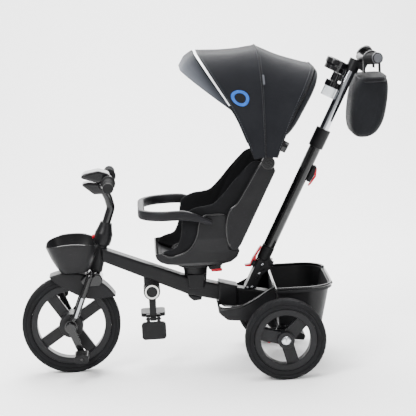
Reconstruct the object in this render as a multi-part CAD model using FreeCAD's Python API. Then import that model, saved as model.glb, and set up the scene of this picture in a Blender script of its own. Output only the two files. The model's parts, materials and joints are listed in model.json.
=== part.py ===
import FreeCAD, Part
import math
import os

# Children's push tricycle: fold-down push handle, swivel seat, reclining back, folding canopy.
# Millimetres. +Z up, the trike faces -X, the child's left hand is -Y.
# While it is being built, X = 0 is the front axle; every shape is shifted to the middle of the
# finished length as it is written.

Vec = FreeCAD.Vector

# ---------------------------------------------------------------- overall sizes
wheelbase = 537.0
half_track = 205.0           # rear wheel mid-planes, either side of the centre
front_wheel_r = 127.0        # 10 inch wheel
rear_wheel_r = 101.5         # 8 inch wheel
tyre_w = 42.0
gap = 0.5                    # clearance between pieces that move past each other
run_gap = 0.05               # radial clearance of a running shaft

# ---------------------------------------------------------------- steering column
head_angle = 15.5            # steering axis, degrees back from vertical
head_x = 104.0               # steering axis at head_z
head_z = 383.0
head_r = 16.5
head_wall = 3.0
head_low = 262.0             # lower and upper ends of the head tube
head_high = 330.0
collar_high = 386.0
collar_r = 23.0
crown_half_w = 39.0
fender_half_w = 31.0
fender_gap = 8.0             # between the tyre and the fender
fender_t = 3.0
fork_r = 8.0
fork_y = 46.0
spindle_r = 6.0
dropout_t = 6.0
stem_r = 11.0
bar_r = 9.0
grip_r = 14.0
grip_len = 96.0
bar_half_w = 160.0
bar_x = 117.0
bar_z = 496.0

# ---------------------------------------------------------------- cranks
crank_len = 72.0
crank_angle = -70.0          # near crank, degrees from straight back (+X)
crank_t = 9.0
pedal_len = 62.0
pedal_w = 36.0
pedal_t = 19.0

# ---------------------------------------------------------------- frame
boom_half_w = 25.0
boom_wall = 2.5
boom_end_x = 402.0
socket_wall = 4.0
axle_r = 6.0
axle_tube_r = 11.0
pillar_x = 327.0
pillar_top = 262.0
pillar_top_r = 33.0
pillar_low_r = 24.0
swivel_x = 332.0             # vertical axis that the seat turns about
swivel_r = 52.0
swivel_h = 18.0

# ---------------------------------------------------------------- seat and back
seat_half_w = 132.0
seat_floor = 278.0           # underside of the bucket
seat_wall = 4.0
back_half_w = 140.0
recline_x = 424.0
recline_z = 331.0
hinge_r = 14.0
bumper_t = 18.0
bumper_h = 25.0
bumper_z = 416.0
bumper_front = 186.0

# ---------------------------------------------------------------- canopy
hub_x = 517.0
hub_z = 538.0
hub_y = 160.0
hub_r = 17.0
hub_pin_r = 5.0
cloth = 1.6
bow_r = 2.5
canopy_half_w = 163.0
canopy_corner = 95.0
front_bow = (-31.6, 320.0)   # angle back from vertical and height of each bow
middle_bow = (-1.9, 277.0)
rear_bow = (30.6, 259.0)

# ---------------------------------------------------------------- push handle
handle_angle = 27.6          # degrees back from vertical
handle_x = 513.0             # a point on the handle's axis
handle_z = 290.0
outer_d = 30.0               # oval tube, front to back and across
outer_w = 34.0
tube_wall = 2.0
inner_d = 24.0
inner_w = 27.0
yoke_low = -26.0             # lengths along the handle's axis from that point
yoke_high = 12.0
outer_high = 318.0
collar_from = 294.0
collar_to = 345.0
inner_low = 200.0
inner_high = 530.0
spigot_r = 9.0
fold_back = 19.0             # fold pin behind the handle's axis


def vec(x, y, z):
    return Vec(x, y, z)


def flat(points, y=0.0):
    return [Vec(x, y, z) for x, z in points]


def loop(points):
    """A closed wire of straight edges."""
    return Part.makePolygon(list(points) + [points[0]])


def soft(points, radius):
    """A closed wire of straight edges joined by tangent arcs, each within its shorter edge."""
    edges = []
    starts = []
    ends = []
    count = len(points)
    for i in range(count):
        back = points[i - 1] - points[i]
        ahead = points[(i + 1) % count] - points[i]
        half = back.getAngle(ahead) / 2
        reach = min(radius / math.tan(half), 0.45 * back.Length, 0.45 * ahead.Length)
        back.normalize()
        ahead.normalize()
        middle = back + ahead
        middle.normalize()
        bend = reach * math.tan(half)
        starts.append(points[i] + back * reach)
        ends.append(points[i] + ahead * reach)
        inside = points[i] + middle * (bend / math.sin(half) - bend)
        edges.append(Part.Arc(starts[i], inside, ends[i]).toShape())
    sides = [Part.LineSegment(ends[i - 1], starts[i]).toShape() for i in range(count)]
    return Part.Wire([edge for pair in zip(sides, edges) for edge in pair])


def smooth(points):
    """A closed smooth wire through the points."""
    curve = Part.BSplineCurve()
    curve.interpolate(Points=list(points), PeriodicFlag=True)
    return Part.Wire(curve.toShape())


def slab(wire, y0, y1):
    """A side outline in the XZ plane, given thickness from y0 to y1."""
    face = Part.Face(wire)
    face.translate(Vec(0, y0, 0))
    return face.extrude(Vec(0, y1 - y0, 0))


def rod(start, end, radius):
    return Part.makeCylinder(radius, (end - start).Length, start, end - start)


def y_rod(x, z, y0, y1, radius):
    return rod(Vec(x, y0, z), Vec(x, y1, z), radius)


def pipe(start, end, radius, bore):
    return rod(start, end, radius).cut(rod(start, end, bore))


def bent_path(points, bend):
    """Straight runs joined by tangent arcs of one radius, smaller where the runs are short."""
    edges = []
    at = points[0]
    for i in range(1, len(points) - 1):
        back = points[i - 1] - points[i]
        ahead = points[i + 1] - points[i]
        half = back.getAngle(ahead) / 2
        reach = min(bend / math.tan(half), 0.45 * back.Length, 0.45 * ahead.Length)
        back.normalize()
        ahead.normalize()
        start = points[i] + back * reach
        end = points[i] + ahead * reach
        middle = back + ahead
        middle.normalize()
        radius = reach * math.tan(half)
        inside = points[i] + middle * (radius / math.sin(half) - radius)
        edges.append(Part.LineSegment(at, start).toShape())
        edges.append(Part.Arc(start, inside, end).toShape())
        at = end
    edges.append(Part.LineSegment(at, points[-1]).toShape())
    return Part.Wire(edges)


def sweep(points, radius, bend, bore=0.0):
    """A round bar or tube along a bent path."""
    path = bent_path(points, bend)
    along = points[1] - points[0]
    ring = Part.Wire(Part.Circle(points[0], along, radius).toShape())
    bar = path.makePipeShell([ring], True, False)
    if not bore:
        return bar
    hole = Part.Wire(Part.Circle(points[0], along, bore).toShape())
    return bar.cut(path.makePipeShell([hole], True, False))


def turned(profile, origin, axis):
    """A solid turned from (radius, height) points about an axis through origin."""
    wire = loop([Vec(r, 0, h) for r, h in profile])
    body = Part.Face(wire).revolve(Vec(0, 0, 0), Vec(0, 0, 1), 360)
    body.Placement = FreeCAD.Placement(origin, FreeCAD.Rotation(Vec(0, 0, 1), axis))
    return body


def rounded(shape, radius, wanted):
    """Fillet the edges that wanted(edge) picks."""
    edges = [edge for edge in shape.Edges if wanted(edge)]
    return shape.makeFillet(radius, edges)


def on_side(edge, y):
    """True for an edge that lies wholly in the side planes y and -y."""
    box = edge.BoundBox
    return abs(abs(box.YMin) - y) < 0.01 and box.YLength < 0.01


def group(shapes):
    return Part.Compound(shapes)


nodes = {}


def make(name, shape):
    nodes[name] = shape


# ---------------------------------------------------------------- axes that several pieces share
tilt = math.radians(head_angle)
head_axis = Vec(math.sin(tilt), 0, math.cos(tilt))


def on_head(z):
    """The point of the steering axis at height z."""
    return Vec(head_x + (z - head_z) * math.tan(tilt), 0, z)


lean = math.radians(handle_angle)
handle_axis = Vec(math.sin(lean), 0, math.cos(lean))
handle_back = Vec(math.cos(lean), 0, -math.sin(lean))


def on_handle(along, behind=0.0, y=0.0):
    """A point of the push handle: along its axis, behind it and across it."""
    return Vec(handle_x, y, handle_z) + handle_axis * along + handle_back * behind


def oval_bar(low, high, depth, width):
    """A flat-sided oval bar on the handle's axis."""
    r = depth / 2
    side = width / 2 - r
    a = on_handle(low, -r, -side)
    b = on_handle(low, -r, side)
    c = on_handle(low, 0, width / 2)
    d = on_handle(low, r, side)
    e = on_handle(low, r, -side)
    f = on_handle(low, 0, -width / 2)
    edges = [Part.LineSegment(a, b).toShape(), Part.Arc(b, c, d).toShape(),
             Part.LineSegment(d, e).toShape(), Part.Arc(e, f, a).toShape()]
    return Part.Face(Part.Wire(edges)).extrude(handle_axis * (high - low))


def handle_slab(points, y0, y1):
    """An outline of (along, behind) points of the handle, given thickness across."""
    face = Part.Face(loop([on_handle(s, n, y0) for s, n in points]))
    return face.extrude(Vec(0, y1 - y0, 0))


# ---------------------------------------------------------------- wheels


def tyre(x, y, radius, inner):
    half = tyre_w / 2
    crown = 7.0
    shoulder = 13.0
    profile = [(inner, -half + 5), (inner + 4, -half), (radius - shoulder, -half),
               (radius - crown, -half + 3), (radius - 2, -half + 10), (radius, -4), (radius, 4),
               (radius - 2, half - 10), (radius - crown, half - 3), (radius - shoulder, half),
               (inner + 4, half), (inner, half - 5)]
    body = turned(profile, Vec(x, y, radius), Vec(0, 1, 0))
    return body


def spoked_rim(x, y, wheel_r, seat_r, opening_r, hub, count, first, spoke_w):
    """Rim ring, flat spokes and hub barrel in one moulding. hub is (radius, half width, bore)."""
    hub_radius, hub_half, bore = hub
    half = tyre_w / 2 - 4
    ring = turned([(opening_r, -half), (seat_r, -half), (seat_r, half), (opening_r, half)],
                  Vec(x, y, wheel_r), Vec(0, 1, 0))
    barrel = y_rod(x, wheel_r, y - hub_half, y + hub_half, hub_radius)
    spoke_t = 15.0
    reach = opening_r + (seat_r - opening_r) / 2
    body = ring.fuse(barrel)
    for i in range(count):
        spoke = Part.makeBox(reach, spoke_t, spoke_w, Vec(0, -spoke_t / 2, -spoke_w / 2))
        spoke.rotate(Vec(0, 0, 0), Vec(0, 1, 0), -(first + i * 360.0 / count))
        spoke.translate(Vec(x, y, wheel_r))
        body = body.fuse(spoke)
    return body.cut(y_rod(x, wheel_r, y - hub_half - 1, y + hub_half + 1, bore)).removeSplitter()


front_seat_r = 103.0
front_open_r = 87.0
rear_seat_r = 78.0
rear_open_r = 62.0
front_hub = (31.0, 33.0, spindle_r + run_gap)
rear_hub = (21.0, 24.0, axle_r + run_gap)
cap_r = 11.5


def front_wheel():
    make("front_tyre", tyre(0, 0, front_wheel_r, front_seat_r))
    make("front_rim", spoked_rim(0, 0, front_wheel_r, front_seat_r, front_open_r,
                                 front_hub, 4, 33.5, 28.0))


def rear_wheels():
    for side, y in (("left", -half_track), ("right", half_track)):
        make("rear_tyre_" + side, tyre(wheelbase, y, rear_wheel_r, rear_seat_r))
        make("rear_rim_" + side, spoked_rim(wheelbase, y, rear_wheel_r, rear_seat_r, rear_open_r,
                                            rear_hub, 3, 45.0, 31.0))


def rear_axle():
    """The solid axle with a domed cap nut on each end."""
    ends = half_track + rear_hub[1] + gap
    axle = y_rod(wheelbase, rear_wheel_r, -ends, ends, axle_r)
    for out in (-1, 1):
        start = Vec(wheelbase, out * ends, rear_wheel_r)
        cap = turned([(0, 0), (cap_r, 0), (cap_r, 2.5), (cap_r - 3, 5.5), (0, 6.5)],
                     start, Vec(0, out, 0))
        axle = axle.fuse(cap)
    make("rear_axle", axle.removeSplitter())


# ---------------------------------------------------------------- front end
button_z = 351.0
steerer_low = 252.0
button_r = 5.5


def fork():
    crown = slab(soft(flat([(28, 244), (46, 261), (82, 260), (90, 240), (78, 227), (42, 227)]), 12),
                 -crown_half_w, crown_half_w)
    crown = rounded(crown, 4, lambda e: on_side(e, crown_half_w))
    wheel_room = y_rod(0, front_wheel_r, -fender_half_w - gap, fender_half_w + gap,
                       front_wheel_r + fender_gap + fender_t + gap)
    crown = crown.cut(wheel_room)
    steerer = rod(on_head(steerer_low), on_head(collar_high - 2), head_r - head_wall - run_gap)
    legs = {}
    for side, s in (("left", -1), ("right", 1)):
        path = [vec(66, s * 22, 258), vec(58, s * fork_y, 262), vec(16, s * fork_y, 158),
                vec(3, s * fork_y, front_wheel_r + 17)]
        leg = sweep(path, fork_r, 18)
        plate = y_rod(0, front_wheel_r, s * fork_y - dropout_t / 2, s * fork_y + dropout_t / 2, 17)
        leg = leg.fuse(plate)
        leg = leg.cut(y_rod(0, front_wheel_r, s * fork_y - 20, s * fork_y + 20,
                            spindle_r + run_gap))
        legs[side] = leg.cut(y_rod(0, front_wheel_r, -fork_y + 9, fork_y - 9, 24))
    make("fork_crown", crown.cut(steerer).cut(legs["left"]).cut(legs["right"]))
    make("fork_legs", group(list(legs.values())))


def steering_collar():
    """The plastic collar above the head tube, with the button that frees the steering."""
    base = on_head(head_high + gap)
    top = (collar_high - head_high) / math.cos(tilt) - gap
    bore = head_r - head_wall - run_gap
    profile = [(bore, 0), (collar_r - 2, 0), (collar_r, 12), (collar_r, 28), (collar_r - 5, 44),
               (stem_r + 4, top), (bore, top)]
    collar = turned(profile, base, head_axis)
    at = on_head(button_z)
    inner = at - Vec(bore + 1, 0, 0)
    hole = rod(inner, inner - Vec(collar_r, 0, 0), button_r + run_gap)
    make("steering_collar", collar.cut(hole))
    start = at - Vec(bore + 6, 0, 0)
    button = rod(start, start - Vec(9.5, 0, 0), button_r)
    button = rounded(button, 1.5, lambda e: e.BoundBox.XMax < start.x - 9)
    make("column_button", button)


def handlebar():
    foot = on_head(collar_high - 1)
    top = vec(bar_x - 15, 0, bar_z - 22)
    stem = sweep([foot, vec(119, 0, 424), vec(113, 0, 450), top], stem_r, 30)
    ends = bar_half_w - 2
    path = [vec(bar_x, -ends, bar_z), vec(bar_x, -70, bar_z - 1), vec(bar_x - 16, -34, bar_z - 10),
            vec(bar_x - 16, 34, bar_z - 10), vec(bar_x, 70, bar_z - 1), vec(bar_x, ends, bar_z)]
    bar = sweep(path, bar_r, 24, bar_r - 2)
    solid_bar = sweep(path, bar_r, 24)
    steerer = rod(on_head(steerer_low), on_head(collar_high - 1), head_r - head_wall - run_gap)
    stem = stem.cut(solid_bar)
    make("stem", stem.fuse(steerer).removeSplitter())
    make("handlebar", bar)
    grips = []
    for s in (-1, 1):
        inner = vec(bar_x, s * (bar_half_w - grip_len), bar_z)
        profile = [(bar_r, 0), (grip_r + 4, 0), (grip_r + 4, 4), (grip_r - 1, 7),
                   (grip_r - 1, grip_len - 8), (grip_r, grip_len - 5), (grip_r - 1, grip_len),
                   (0, grip_len), (0, grip_len - 2), (bar_r, grip_len - 2)]
        grips.append(turned(profile, inner, Vec(0, s, 0)).cut(solid_bar))
    make("handlebar_grips", group(grips))
    upper = slab(soft(flat([(43, 507), (56, 518), (92, 524), (116, 516), (128, 497), (114, 490),
                            (88, 492)]), 14), -27, 27)
    lower = slab(soft(flat([(43, 491), (66, 494), (112, 487), (117, 474), (102, 462), (78, 462)]),
                      10), -22, 22)
    upper = rounded(upper, 5, lambda e: on_side(e, 27))
    lower = rounded(lower, 4, lambda e: on_side(e, 22))
    upper = upper.cut(solid_bar).cut(stem)
    make("bar_cover", group([largest(upper), largest(lower.cut(solid_bar).cut(stem).cut(upper))]))


def fender():
    skirt = fender_half_w
    inner = front_wheel_r + fender_gap
    outer = inner + fender_t
    shell = turned([(80, -skirt), (outer, -skirt), (outer, skirt), (80, skirt), (80, skirt - 3),
                    (inner, skirt - 3), (inner, 3 - skirt), (80, 3 - skirt)],
                   Vec(0, 0, front_wheel_r), Vec(0, 1, 0))
    shell = rounded(shell, 5, lambda e: abs(e.BoundBox.XLength - 2 * outer) < 0.1)
    lens = slab(smooth(flat([(-47, 262), (10, 275), (70, 270), (112, 240), (130, 201),
                             (104, 196), (52, 194), (2, 216), (-30, 238)])), -skirt - 1, skirt + 1)
    shell = shell.common(lens)
    shell = shell.cut(nodes["fork_legs"]).cut(nodes["fork_crown"])
    make("front_fender", largest(shell))


def largest(shape):
    """The biggest solid, without the scraps that a cut leaves."""
    return max(shape.Solids, key=lambda solid: solid.Volume)


basket_wall = 2.5


def oval(x0, x1, half_w, z, rise=0.0):
    """A closed rim curve, higher by rise at the middle of its length."""
    middle = (x0 + x1) / 2
    reach = (x1 - x0) / 2
    points = []
    for i in range(24):
        a = 2 * math.pi * i / 24
        c = math.cos(a)
        s = math.sin(a)
        x = middle + reach * math.copysign(abs(c) ** 0.55, c)
        y = half_w * math.copysign(abs(s) ** 0.55, s)
        points.append(Vec(x, y, z + rise * s * s))
    return smooth(points)


def front_basket():
    low = 268.0
    high = 352.0
    outer = Part.makeLoft([oval(-20, 54, 56, low), oval(-40, 70, 72, low + 34),
                           oval(-58, 86, 84, high)], True)
    inner = Part.makeLoft([oval(-17, 51, 53, low + 3), oval(-37.5, 67.5, 69.5, low + 34),
                           oval(-55.5, 83.5, 81.5, high + 1)], True)
    lip = Part.makeLoft([oval(-64, 92, 90, high - 8), oval(-64, 92, 90, high)], True)
    body = outer.fuse(lip).cut(inner)
    clear = rod(on_head(240), on_head(collar_high), collar_r + 2)
    trim = slab(smooth(flat([(-90, 322), (-60, 334), (-10, 346), (40, 346), (90, 332), (120, 312),
                             (90, 240), (-60, 240)])), -95, 95)
    body = body.common(trim).cut(clear)
    foot = slab(loop(flat([(36, 262), (60, 262), (60, 290), (36, 270)])), -12, 12)
    foot = foot.cut(clear).cut(inner).cut(nodes["fork_crown"])
    make("front_basket", largest(body.fuse(foot).removeSplitter()))


def cranks():
    z = front_wheel_r
    a = math.radians(crank_angle)
    reach = Vec(math.cos(a), 0, math.sin(a)) * crank_len
    y_in = fork_y + fork_r + 1.5 + crank_t
    crank = y_rod(0, z, -y_in, y_in, spindle_r)
    for side, s in (("left", 1), ("right", -1)):
        sign = -s
        end = Vec(0, 0, z) + reach * s
        start_y = sign * (y_in - crank_t)
        out_y = start_y + sign * crank_t
        low, high = sorted((start_y, out_y))
        arm = y_rod(0, z, low, high, 13).fuse(y_rod(end.x, end.z, low, high, 10))
        across = Vec(-reach.z, 0, reach.x)
        across.normalize()
        base = Vec(0, low, z)
        tip = Vec(end.x, low, end.z)
        web = Part.Face(loop([base + across * 10, tip + across * 8, tip - across * 8,
                              base - across * 10])).extrude(Vec(0, high - low, 0))
        arm = arm.fuse(web)
        pin = y_rod(end.x, end.z, min(start_y, sign * (abs(out_y) + pedal_len)),
                    max(start_y, sign * (abs(out_y) + pedal_len)), 5)
        crank = crank.fuse(arm).fuse(pin)
        y0 = abs(out_y) + 1.0
        blank = Part.makeBox(pedal_w, pedal_len, pedal_t,
                             Vec(end.x - pedal_w / 2, min(sign * y0, sign * (y0 + pedal_len)),
                                 end.z - pedal_t / 2))
        blank = rounded(blank, 6, lambda e: e.BoundBox.YLength > pedal_len - 1)
        make("pedal_" + side, blank.cut(y_rod(end.x, end.z, -400, 400, 5 + run_gap)))
    make("crank_set", crank.removeSplitter())


# ---------------------------------------------------------------- frame
boom_top_front = (88.0, 322.6)
boom_top_knee = (322.0, 228.6)
boom_low_front = (88.0, 288.4)
boom_low_knee = (303.6, 190.0)
boom_top_end = 207.5
boom_low_end = 165.2


def boom_outline(inset=0.0):
    wire = loop(flat([boom_top_front, boom_top_knee, (boom_end_x, boom_top_end),
                      (boom_end_x, boom_low_end), boom_low_knee, boom_low_front]))
    return wire.makeOffset2D(-inset) if inset else wire


def boom_solid(grow=0.0):
    wire = boom_outline()
    if grow:
        wire = wire.makeOffset2D(grow)
    return slab(wire, -boom_half_w - grow, boom_half_w + grow)


def frame():
    head = pipe(on_head(head_low), on_head(head_high), head_r, head_r - head_wall)
    around_head = rod(on_head(head_low - 60), on_head(head_high + 60), head_r)
    outer = rounded(boom_solid(), 6, lambda e: on_side(e, boom_half_w))
    hollow = slab(boom_outline(boom_wall), -boom_half_w + boom_wall, boom_half_w - boom_wall)
    open_end = Part.makeBox(boom_wall + 2, 2 * (boom_half_w - boom_wall), 36,
                            Vec(boom_end_x - boom_wall - 1, boom_wall - boom_half_w, 168.5))
    boom = largest(outer.cut(hollow).cut(open_end).cut(around_head))
    make("main_boom", boom.fuse(head).removeSplitter())
    wrap = slab(loop(flat([(384, 219), (432, 206), (428, 152), (380, 159)])),
                -boom_half_w - socket_wall, boom_half_w + socket_wall)
    wrap = rounded(wrap, 5, lambda e: on_side(e, boom_half_w + socket_wall))
    make("boom_socket", wrap.cut(boom_solid()))
    carrier = slab(loop(flat([(boom_end_x + 1, 204), (434, 199), (512, 186), (518, 118),
                              (563, 113), (563, 90), (514, 86), (486, 118), (466, 146),
                              (boom_end_x + 1, 156)])), -21, 21)
    carrier = rounded(carrier, 5, lambda e: on_side(e, 21))
    tube = y_rod(wheelbase, rear_wheel_r, -170, 170, axle_tube_r)
    socket = nodes["boom_socket"].cut(slab(loop(flat([(boom_end_x + 1, 204), (434, 199),
                                                       (434, 150), (boom_end_x + 1, 156)])),
                                           -21, 21))
    make("boom_socket", largest(socket))
    carrier = carrier.cut(boom_solid()).cut(nodes["boom_socket"])
    carrier = largest(carrier).fuse(tube).removeSplitter()
    make("rear_carrier", carrier.cut(y_rod(wheelbase, rear_wheel_r, -171, 171, axle_r)))


def seat_post():
    low = 206.0
    axis = Vec(0, 0, 1)
    post = turned([(0, 0), (pillar_low_r, 0), (pillar_low_r + 2, 8),
                   (pillar_top_r - 3, pillar_top - low - 14), (pillar_top_r, pillar_top - low),
                   (0, pillar_top - low)], Vec(pillar_x, 0, low), axis)
    saddle = slab(loop(flat([(303, pillar_top - 20), (351, pillar_top - 20), (347, low),
                             (307, low)])), -boom_half_w - 6, boom_half_w + 6)
    saddle = rounded(saddle, 5, lambda e: e.BoundBox.ZLength > 20)
    make("seat_pillar", largest(post.fuse(saddle).removeSplitter().cut(boom_solid(0.02))))
    plate = turned([(0, 0), (swivel_r - 4, 0), (swivel_r, 3), (swivel_r, swivel_h / 2),
                    (0, swivel_h / 2)], Vec(swivel_x, 0, pillar_top), axis)
    nose = slab(loop(flat([(358, pillar_top), (394, pillar_top), (392, 252), (362, 250)])),
                -17, 17)
    nose = rounded(nose, 4, lambda e: e.BoundBox.YLength > 20 and e.BoundBox.ZMax < 255)
    tail = slab(loop(flat([(370, pillar_top), (396, pillar_top),
                           (396, pillar_top + swivel_h / 2), (370, pillar_top + swivel_h / 2)])),
                -24, 24)
    slot = Part.makeBox(40, 21, 7, Vec(362, -10.5, 247))
    make("swivel_base", plate.fuse(nose).fuse(tail).cut(post).cut(slot).removeSplitter())
    grip = slab(loop(flat([(364, 252.5), (388, 252.5), (396, 248), (394, 243), (368, 243)])),
                -10, 10)
    grip = rounded(grip, 2, lambda e: on_side(e, 10))
    make("swivel_lever", grip)
    seam = pillar_top + swivel_h / 2 + gap
    top = seat_floor - seam
    disc = turned([(0, 0), (swivel_r, 0), (swivel_r + 3, 2), (swivel_r + 3, top), (0, top)],
                  Vec(swivel_x, 0, seam), axis)
    make("turntable", disc)


def boom_latch():
    """The clamp plate under the boom that the seat post is bolted to."""
    block = slab(loop(flat([(302, 189), (340, 180), (338, 172), (318, 170), (306, 180)])), -15, 15)
    block = rounded(block, 2, lambda e: on_side(e, 15))
    block = largest(block.cut(boom_solid(0.02)).cut(nodes["seat_pillar"]))
    make("seat_pillar", group([nodes["seat_pillar"], block]))


# ---------------------------------------------------------------- footrest
rest_x = 211.5
rest_z = 204.0
rest_r = 21.5
arm_low = 130.0
pad_w = 63.0
pad_len = 46.0
pad_t = 10.0
pad_hinge_y = 17.0


def footrest():
    hanger = y_rod(rest_x, rest_z, -34, 34, rest_r)
    neck = slab(loop(flat([(192, 250), (232, 230), (231, 204), (192, 204)])), -18, 18)
    hanger = hanger.fuse(neck).removeSplitter()
    arm_gap = y_rod(rest_x, rest_z, -13, 13, 60)
    pivot = y_rod(rest_x, rest_z, -13, 13, 9)
    hanger = hanger.cut(arm_gap).fuse(neck.cut(y_rod(rest_x, rest_z, -19, 19, rest_r + 1)))
    hanger = hanger.fuse(pivot).cut(boom_solid(0.02))
    make("footrest_hanger", largest(hanger.removeSplitter()))
    rings = []
    for s in (-1, 1):
        ring = y_rod(rest_x, rest_z, *sorted((s * 34, s * 37)), 18)
        rings.append(ring.cut(y_rod(rest_x, rest_z, -40, 40, 14.5)))
    make("footrest_rings", group(rings))
    boss = y_rod(rest_x, rest_z, -12.5, 12.5, rest_r - 1)
    strut = slab(loop(flat([(rest_x - 10, rest_z), (rest_x + 10, rest_z), (rest_x + 8, arm_low),
                            (rest_x - 8, arm_low)])), -12.5, 12.5)
    foot = Part.makeBox(16, 2 * pad_hinge_y - 9, 14, Vec(rest_x - 8, -pad_hinge_y + 4.5,
                                                         arm_low - 7))
    arm = boss.fuse(strut).fuse(foot).removeSplitter()
    arm = arm.cut(y_rod(rest_x, rest_z, -14, 14, 9 + run_gap))
    pins = []
    for s in (-1, 1):
        eye = rod(vec(rest_x - 8, s * pad_hinge_y, arm_low), vec(rest_x + 8, s * pad_hinge_y,
                                                                 arm_low), 5)
        arm = arm.fuse(eye)
        pins.append(rod(vec(rest_x - 20, s * pad_hinge_y, arm_low),
                        vec(rest_x + 20, s * pad_hinge_y, arm_low), 2.5))
    make("footrest_arm", arm.fuse(pins).removeSplitter())
    near = foot_pad()
    near.translate(Vec(rest_x, -pad_hinge_y, arm_low))
    far = foot_pad()
    far.rotate(Vec(0, 0, 0), Vec(1, 0, 0), 97)
    far.translate(Vec(rest_x, pad_hinge_y, arm_low))
    make("foot_pad_left", near)
    make("foot_pad_right", far)


def foot_pad():
    """A pad that hangs straight down from a hinge line at the origin, which runs along X."""
    lower = 8.0
    plate = Part.makeBox(pad_w, pad_t, pad_len, Vec(-pad_w / 2, -pad_t / 2, -pad_len - lower))
    plate = rounded(plate, 9, lambda e: e.BoundBox.YLength > pad_t - 1)
    lugs = []
    for s in (-1, 1):
        x0 = 9.0 if s > 0 else -18.0
        lugs.append(rod(vec(x0, 0, 0), vec(x0 + 9, 0, 0), 5))
        lugs.append(Part.makeBox(9, 8, lower + 4, Vec(x0, -4, -lower - 4)))
    body = plate.fuse(lugs).removeSplitter()
    return body.cut(rod(vec(-30, 0, 0), vec(30, 0, 0), 2.5 + run_gap))


# ---------------------------------------------------------------- rear basket and brake
tub_half_w = 162.0
tub_low = 118.0
tub_high = 215.0
tub_front = 523.0
tub_rear = 662.0
tray_half_w = 140.0
tray_low = 140.0


def plan(x0, x1, half_w, z, corner, front_corner=6.0):
    """A rounded rectangle in plan."""
    pts = [(x0, -half_w), (x1, -half_w), (x1, half_w), (x0, half_w)]
    radii = [front_corner, corner, corner, front_corner]
    edges = []
    prev = None
    first = None
    for i, (x, y) in enumerate(pts):
        r = radii[i]
        ax, ay = pts[i - 1]
        bx, by = pts[(i + 1) % 4]
        c = Vec(x, y, z)
        da = Vec(ax - x, ay - y, 0)
        db = Vec(bx - x, by - y, 0)
        da.normalize()
        db.normalize()
        start = c + da * r
        end = c + db * r
        inside = c + (da + db) * (r * (1 - math.sqrt(0.5)))
        if prev is not None:
            edges.append(Part.LineSegment(prev, start).toShape())
        else:
            first = start
        edges.append(Part.Arc(start, inside, end).toShape())
        prev = end
    edges.append(Part.LineSegment(prev, first).toShape())
    return Part.Wire(edges)


def rear_basket():
    w = basket_wall
    tub = Part.makeLoft([plan(tub_front + 3, tub_rear - 22, tub_half_w - 34, tub_low, 40),
                         plan(tub_front, tub_rear, tub_half_w - 6, tub_high, 62)], True)
    lip = Part.makeLoft([plan(tub_front - 3, tub_rear + 5, tub_half_w, tub_high - 7, 66),
                         plan(tub_front - 3, tub_rear + 5, tub_half_w, tub_high, 66)], True)
    room = Part.makeLoft([plan(tub_front + 3 + w, tub_rear - 22 - w, tub_half_w - 34 - w,
                               tub_low + w, 38),
                          plan(tub_front + w, tub_rear - w, tub_half_w - 6 - w, tub_high + 1,
                               60)], True)
    side = [(376, 170), (378, 154), (398, tray_low), (470, tray_low - 2), (tub_front, 146),
            (tub_front, 221), (505, 214), (470, 192), (436, 176), (404, 172)]
    inner = [(381, 184), (382, 158), (400, tray_low + w), (470, tray_low + w - 2),
             (tub_front - w, 146 + w), (tub_front - w, 260), (480, 260), (430, 240), (395, 230)]
    rounding = plan(374, tub_front + 40, tray_half_w, 100, 6, 60).copy()
    column = Part.Face(rounding).extrude(Vec(0, 0, 160))
    column_in = Part.Face(plan(374 + w, tub_front + 40, tray_half_w - w, 100, 6,
                               58)).extrude(Vec(0, 0, 160))
    tray = slab(loop(flat(side)), -tray_half_w, tray_half_w).common(column)
    tray = tray.cut(slab(loop(flat(inner)), -tray_half_w + w, tray_half_w - w).common(column_in))
    body = tub.fuse(lip).fuse(tray)
    body = body.cut(room)
    way = slab(loop(flat([(370, 226), (470, 222), (519, 240), (519.5, 112), (570, 112),
                          (570, 80), (440, 80), (460, 138), (370, 138)])), -30.5, 30.5)
    shaft = y_rod(wheelbase, rear_wheel_r, -200, 200, axle_tube_r + gap)
    body = body.cut(way).cut(shaft)
    make("rear_basket", largest(body))


brake_y = 128.0


def brake():
    """A rocker on the axle tube: tread at the back to lock, red tab at the front to let go."""
    arms = []
    for s in (-1, 1):
        y0, y1 = sorted((s * (brake_y - 6), s * (brake_y + 6)))
        ear = y_rod(wheelbase, rear_wheel_r, y0, y1, 19)
        arm = slab(loop(flat([(530, 116), (556, 112), (592, 92), (588, 78), (560, 82),
                              (524, 82), (512, 84), (514, 96)])), y0, y1)
        arms.append(ear.fuse(arm).removeSplitter())
    tread = y_rod(584, 86, -brake_y, brake_y, 9)
    body = arms[0].fuse([arms[1], tread]).removeSplitter()
    body = body.cut(y_rod(wheelbase, rear_wheel_r, -180, 180, axle_tube_r + run_gap))
    room = slab(loop(flat([(490, 200), (575, 200), (575, 115.5), (490, 115.5)])), -170, 170)
    body = body.cut(room)
    for s in (-1, 1):
        tab = slab(loop(flat([(496, 88), (514, 95), (518, 86), (500, 77)])),
                   *sorted((s * (brake_y - 16), s * (brake_y + 16))))
        body = body.fuse(tab)
    make("brake_rocker", largest(body.removeSplitter()))


# ---------------------------------------------------------------- seat, back, bumper
def seat_side(inset):
    """Side outline of the bucket. The inner one is open above."""
    w = inset
    if not inset:
        return [(224, 317), (228, 303), (238, 293), (256, 286), (288, 281), (322, seat_floor),
                (390, seat_floor), (414, 284), (431, 298), (438, 315), (428, 331), (421, 372),
                (407, 409), (388, 412), (352, 410), (338, 392), (331, 360), (316, 332),
                (295, 316), (272, 308), (256, 310), (240, 319)]
    return [(224 + w, 318), (228 + w, 306), (240 + w, 298), (258 + w, 291), (290, 281 + w),
            (322, seat_floor + w), (388, seat_floor + w), (410, 289), (426, 302), (432, 316),
            (420, 340), (440, 420), (440, 440), (224 + w, 440)]


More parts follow.
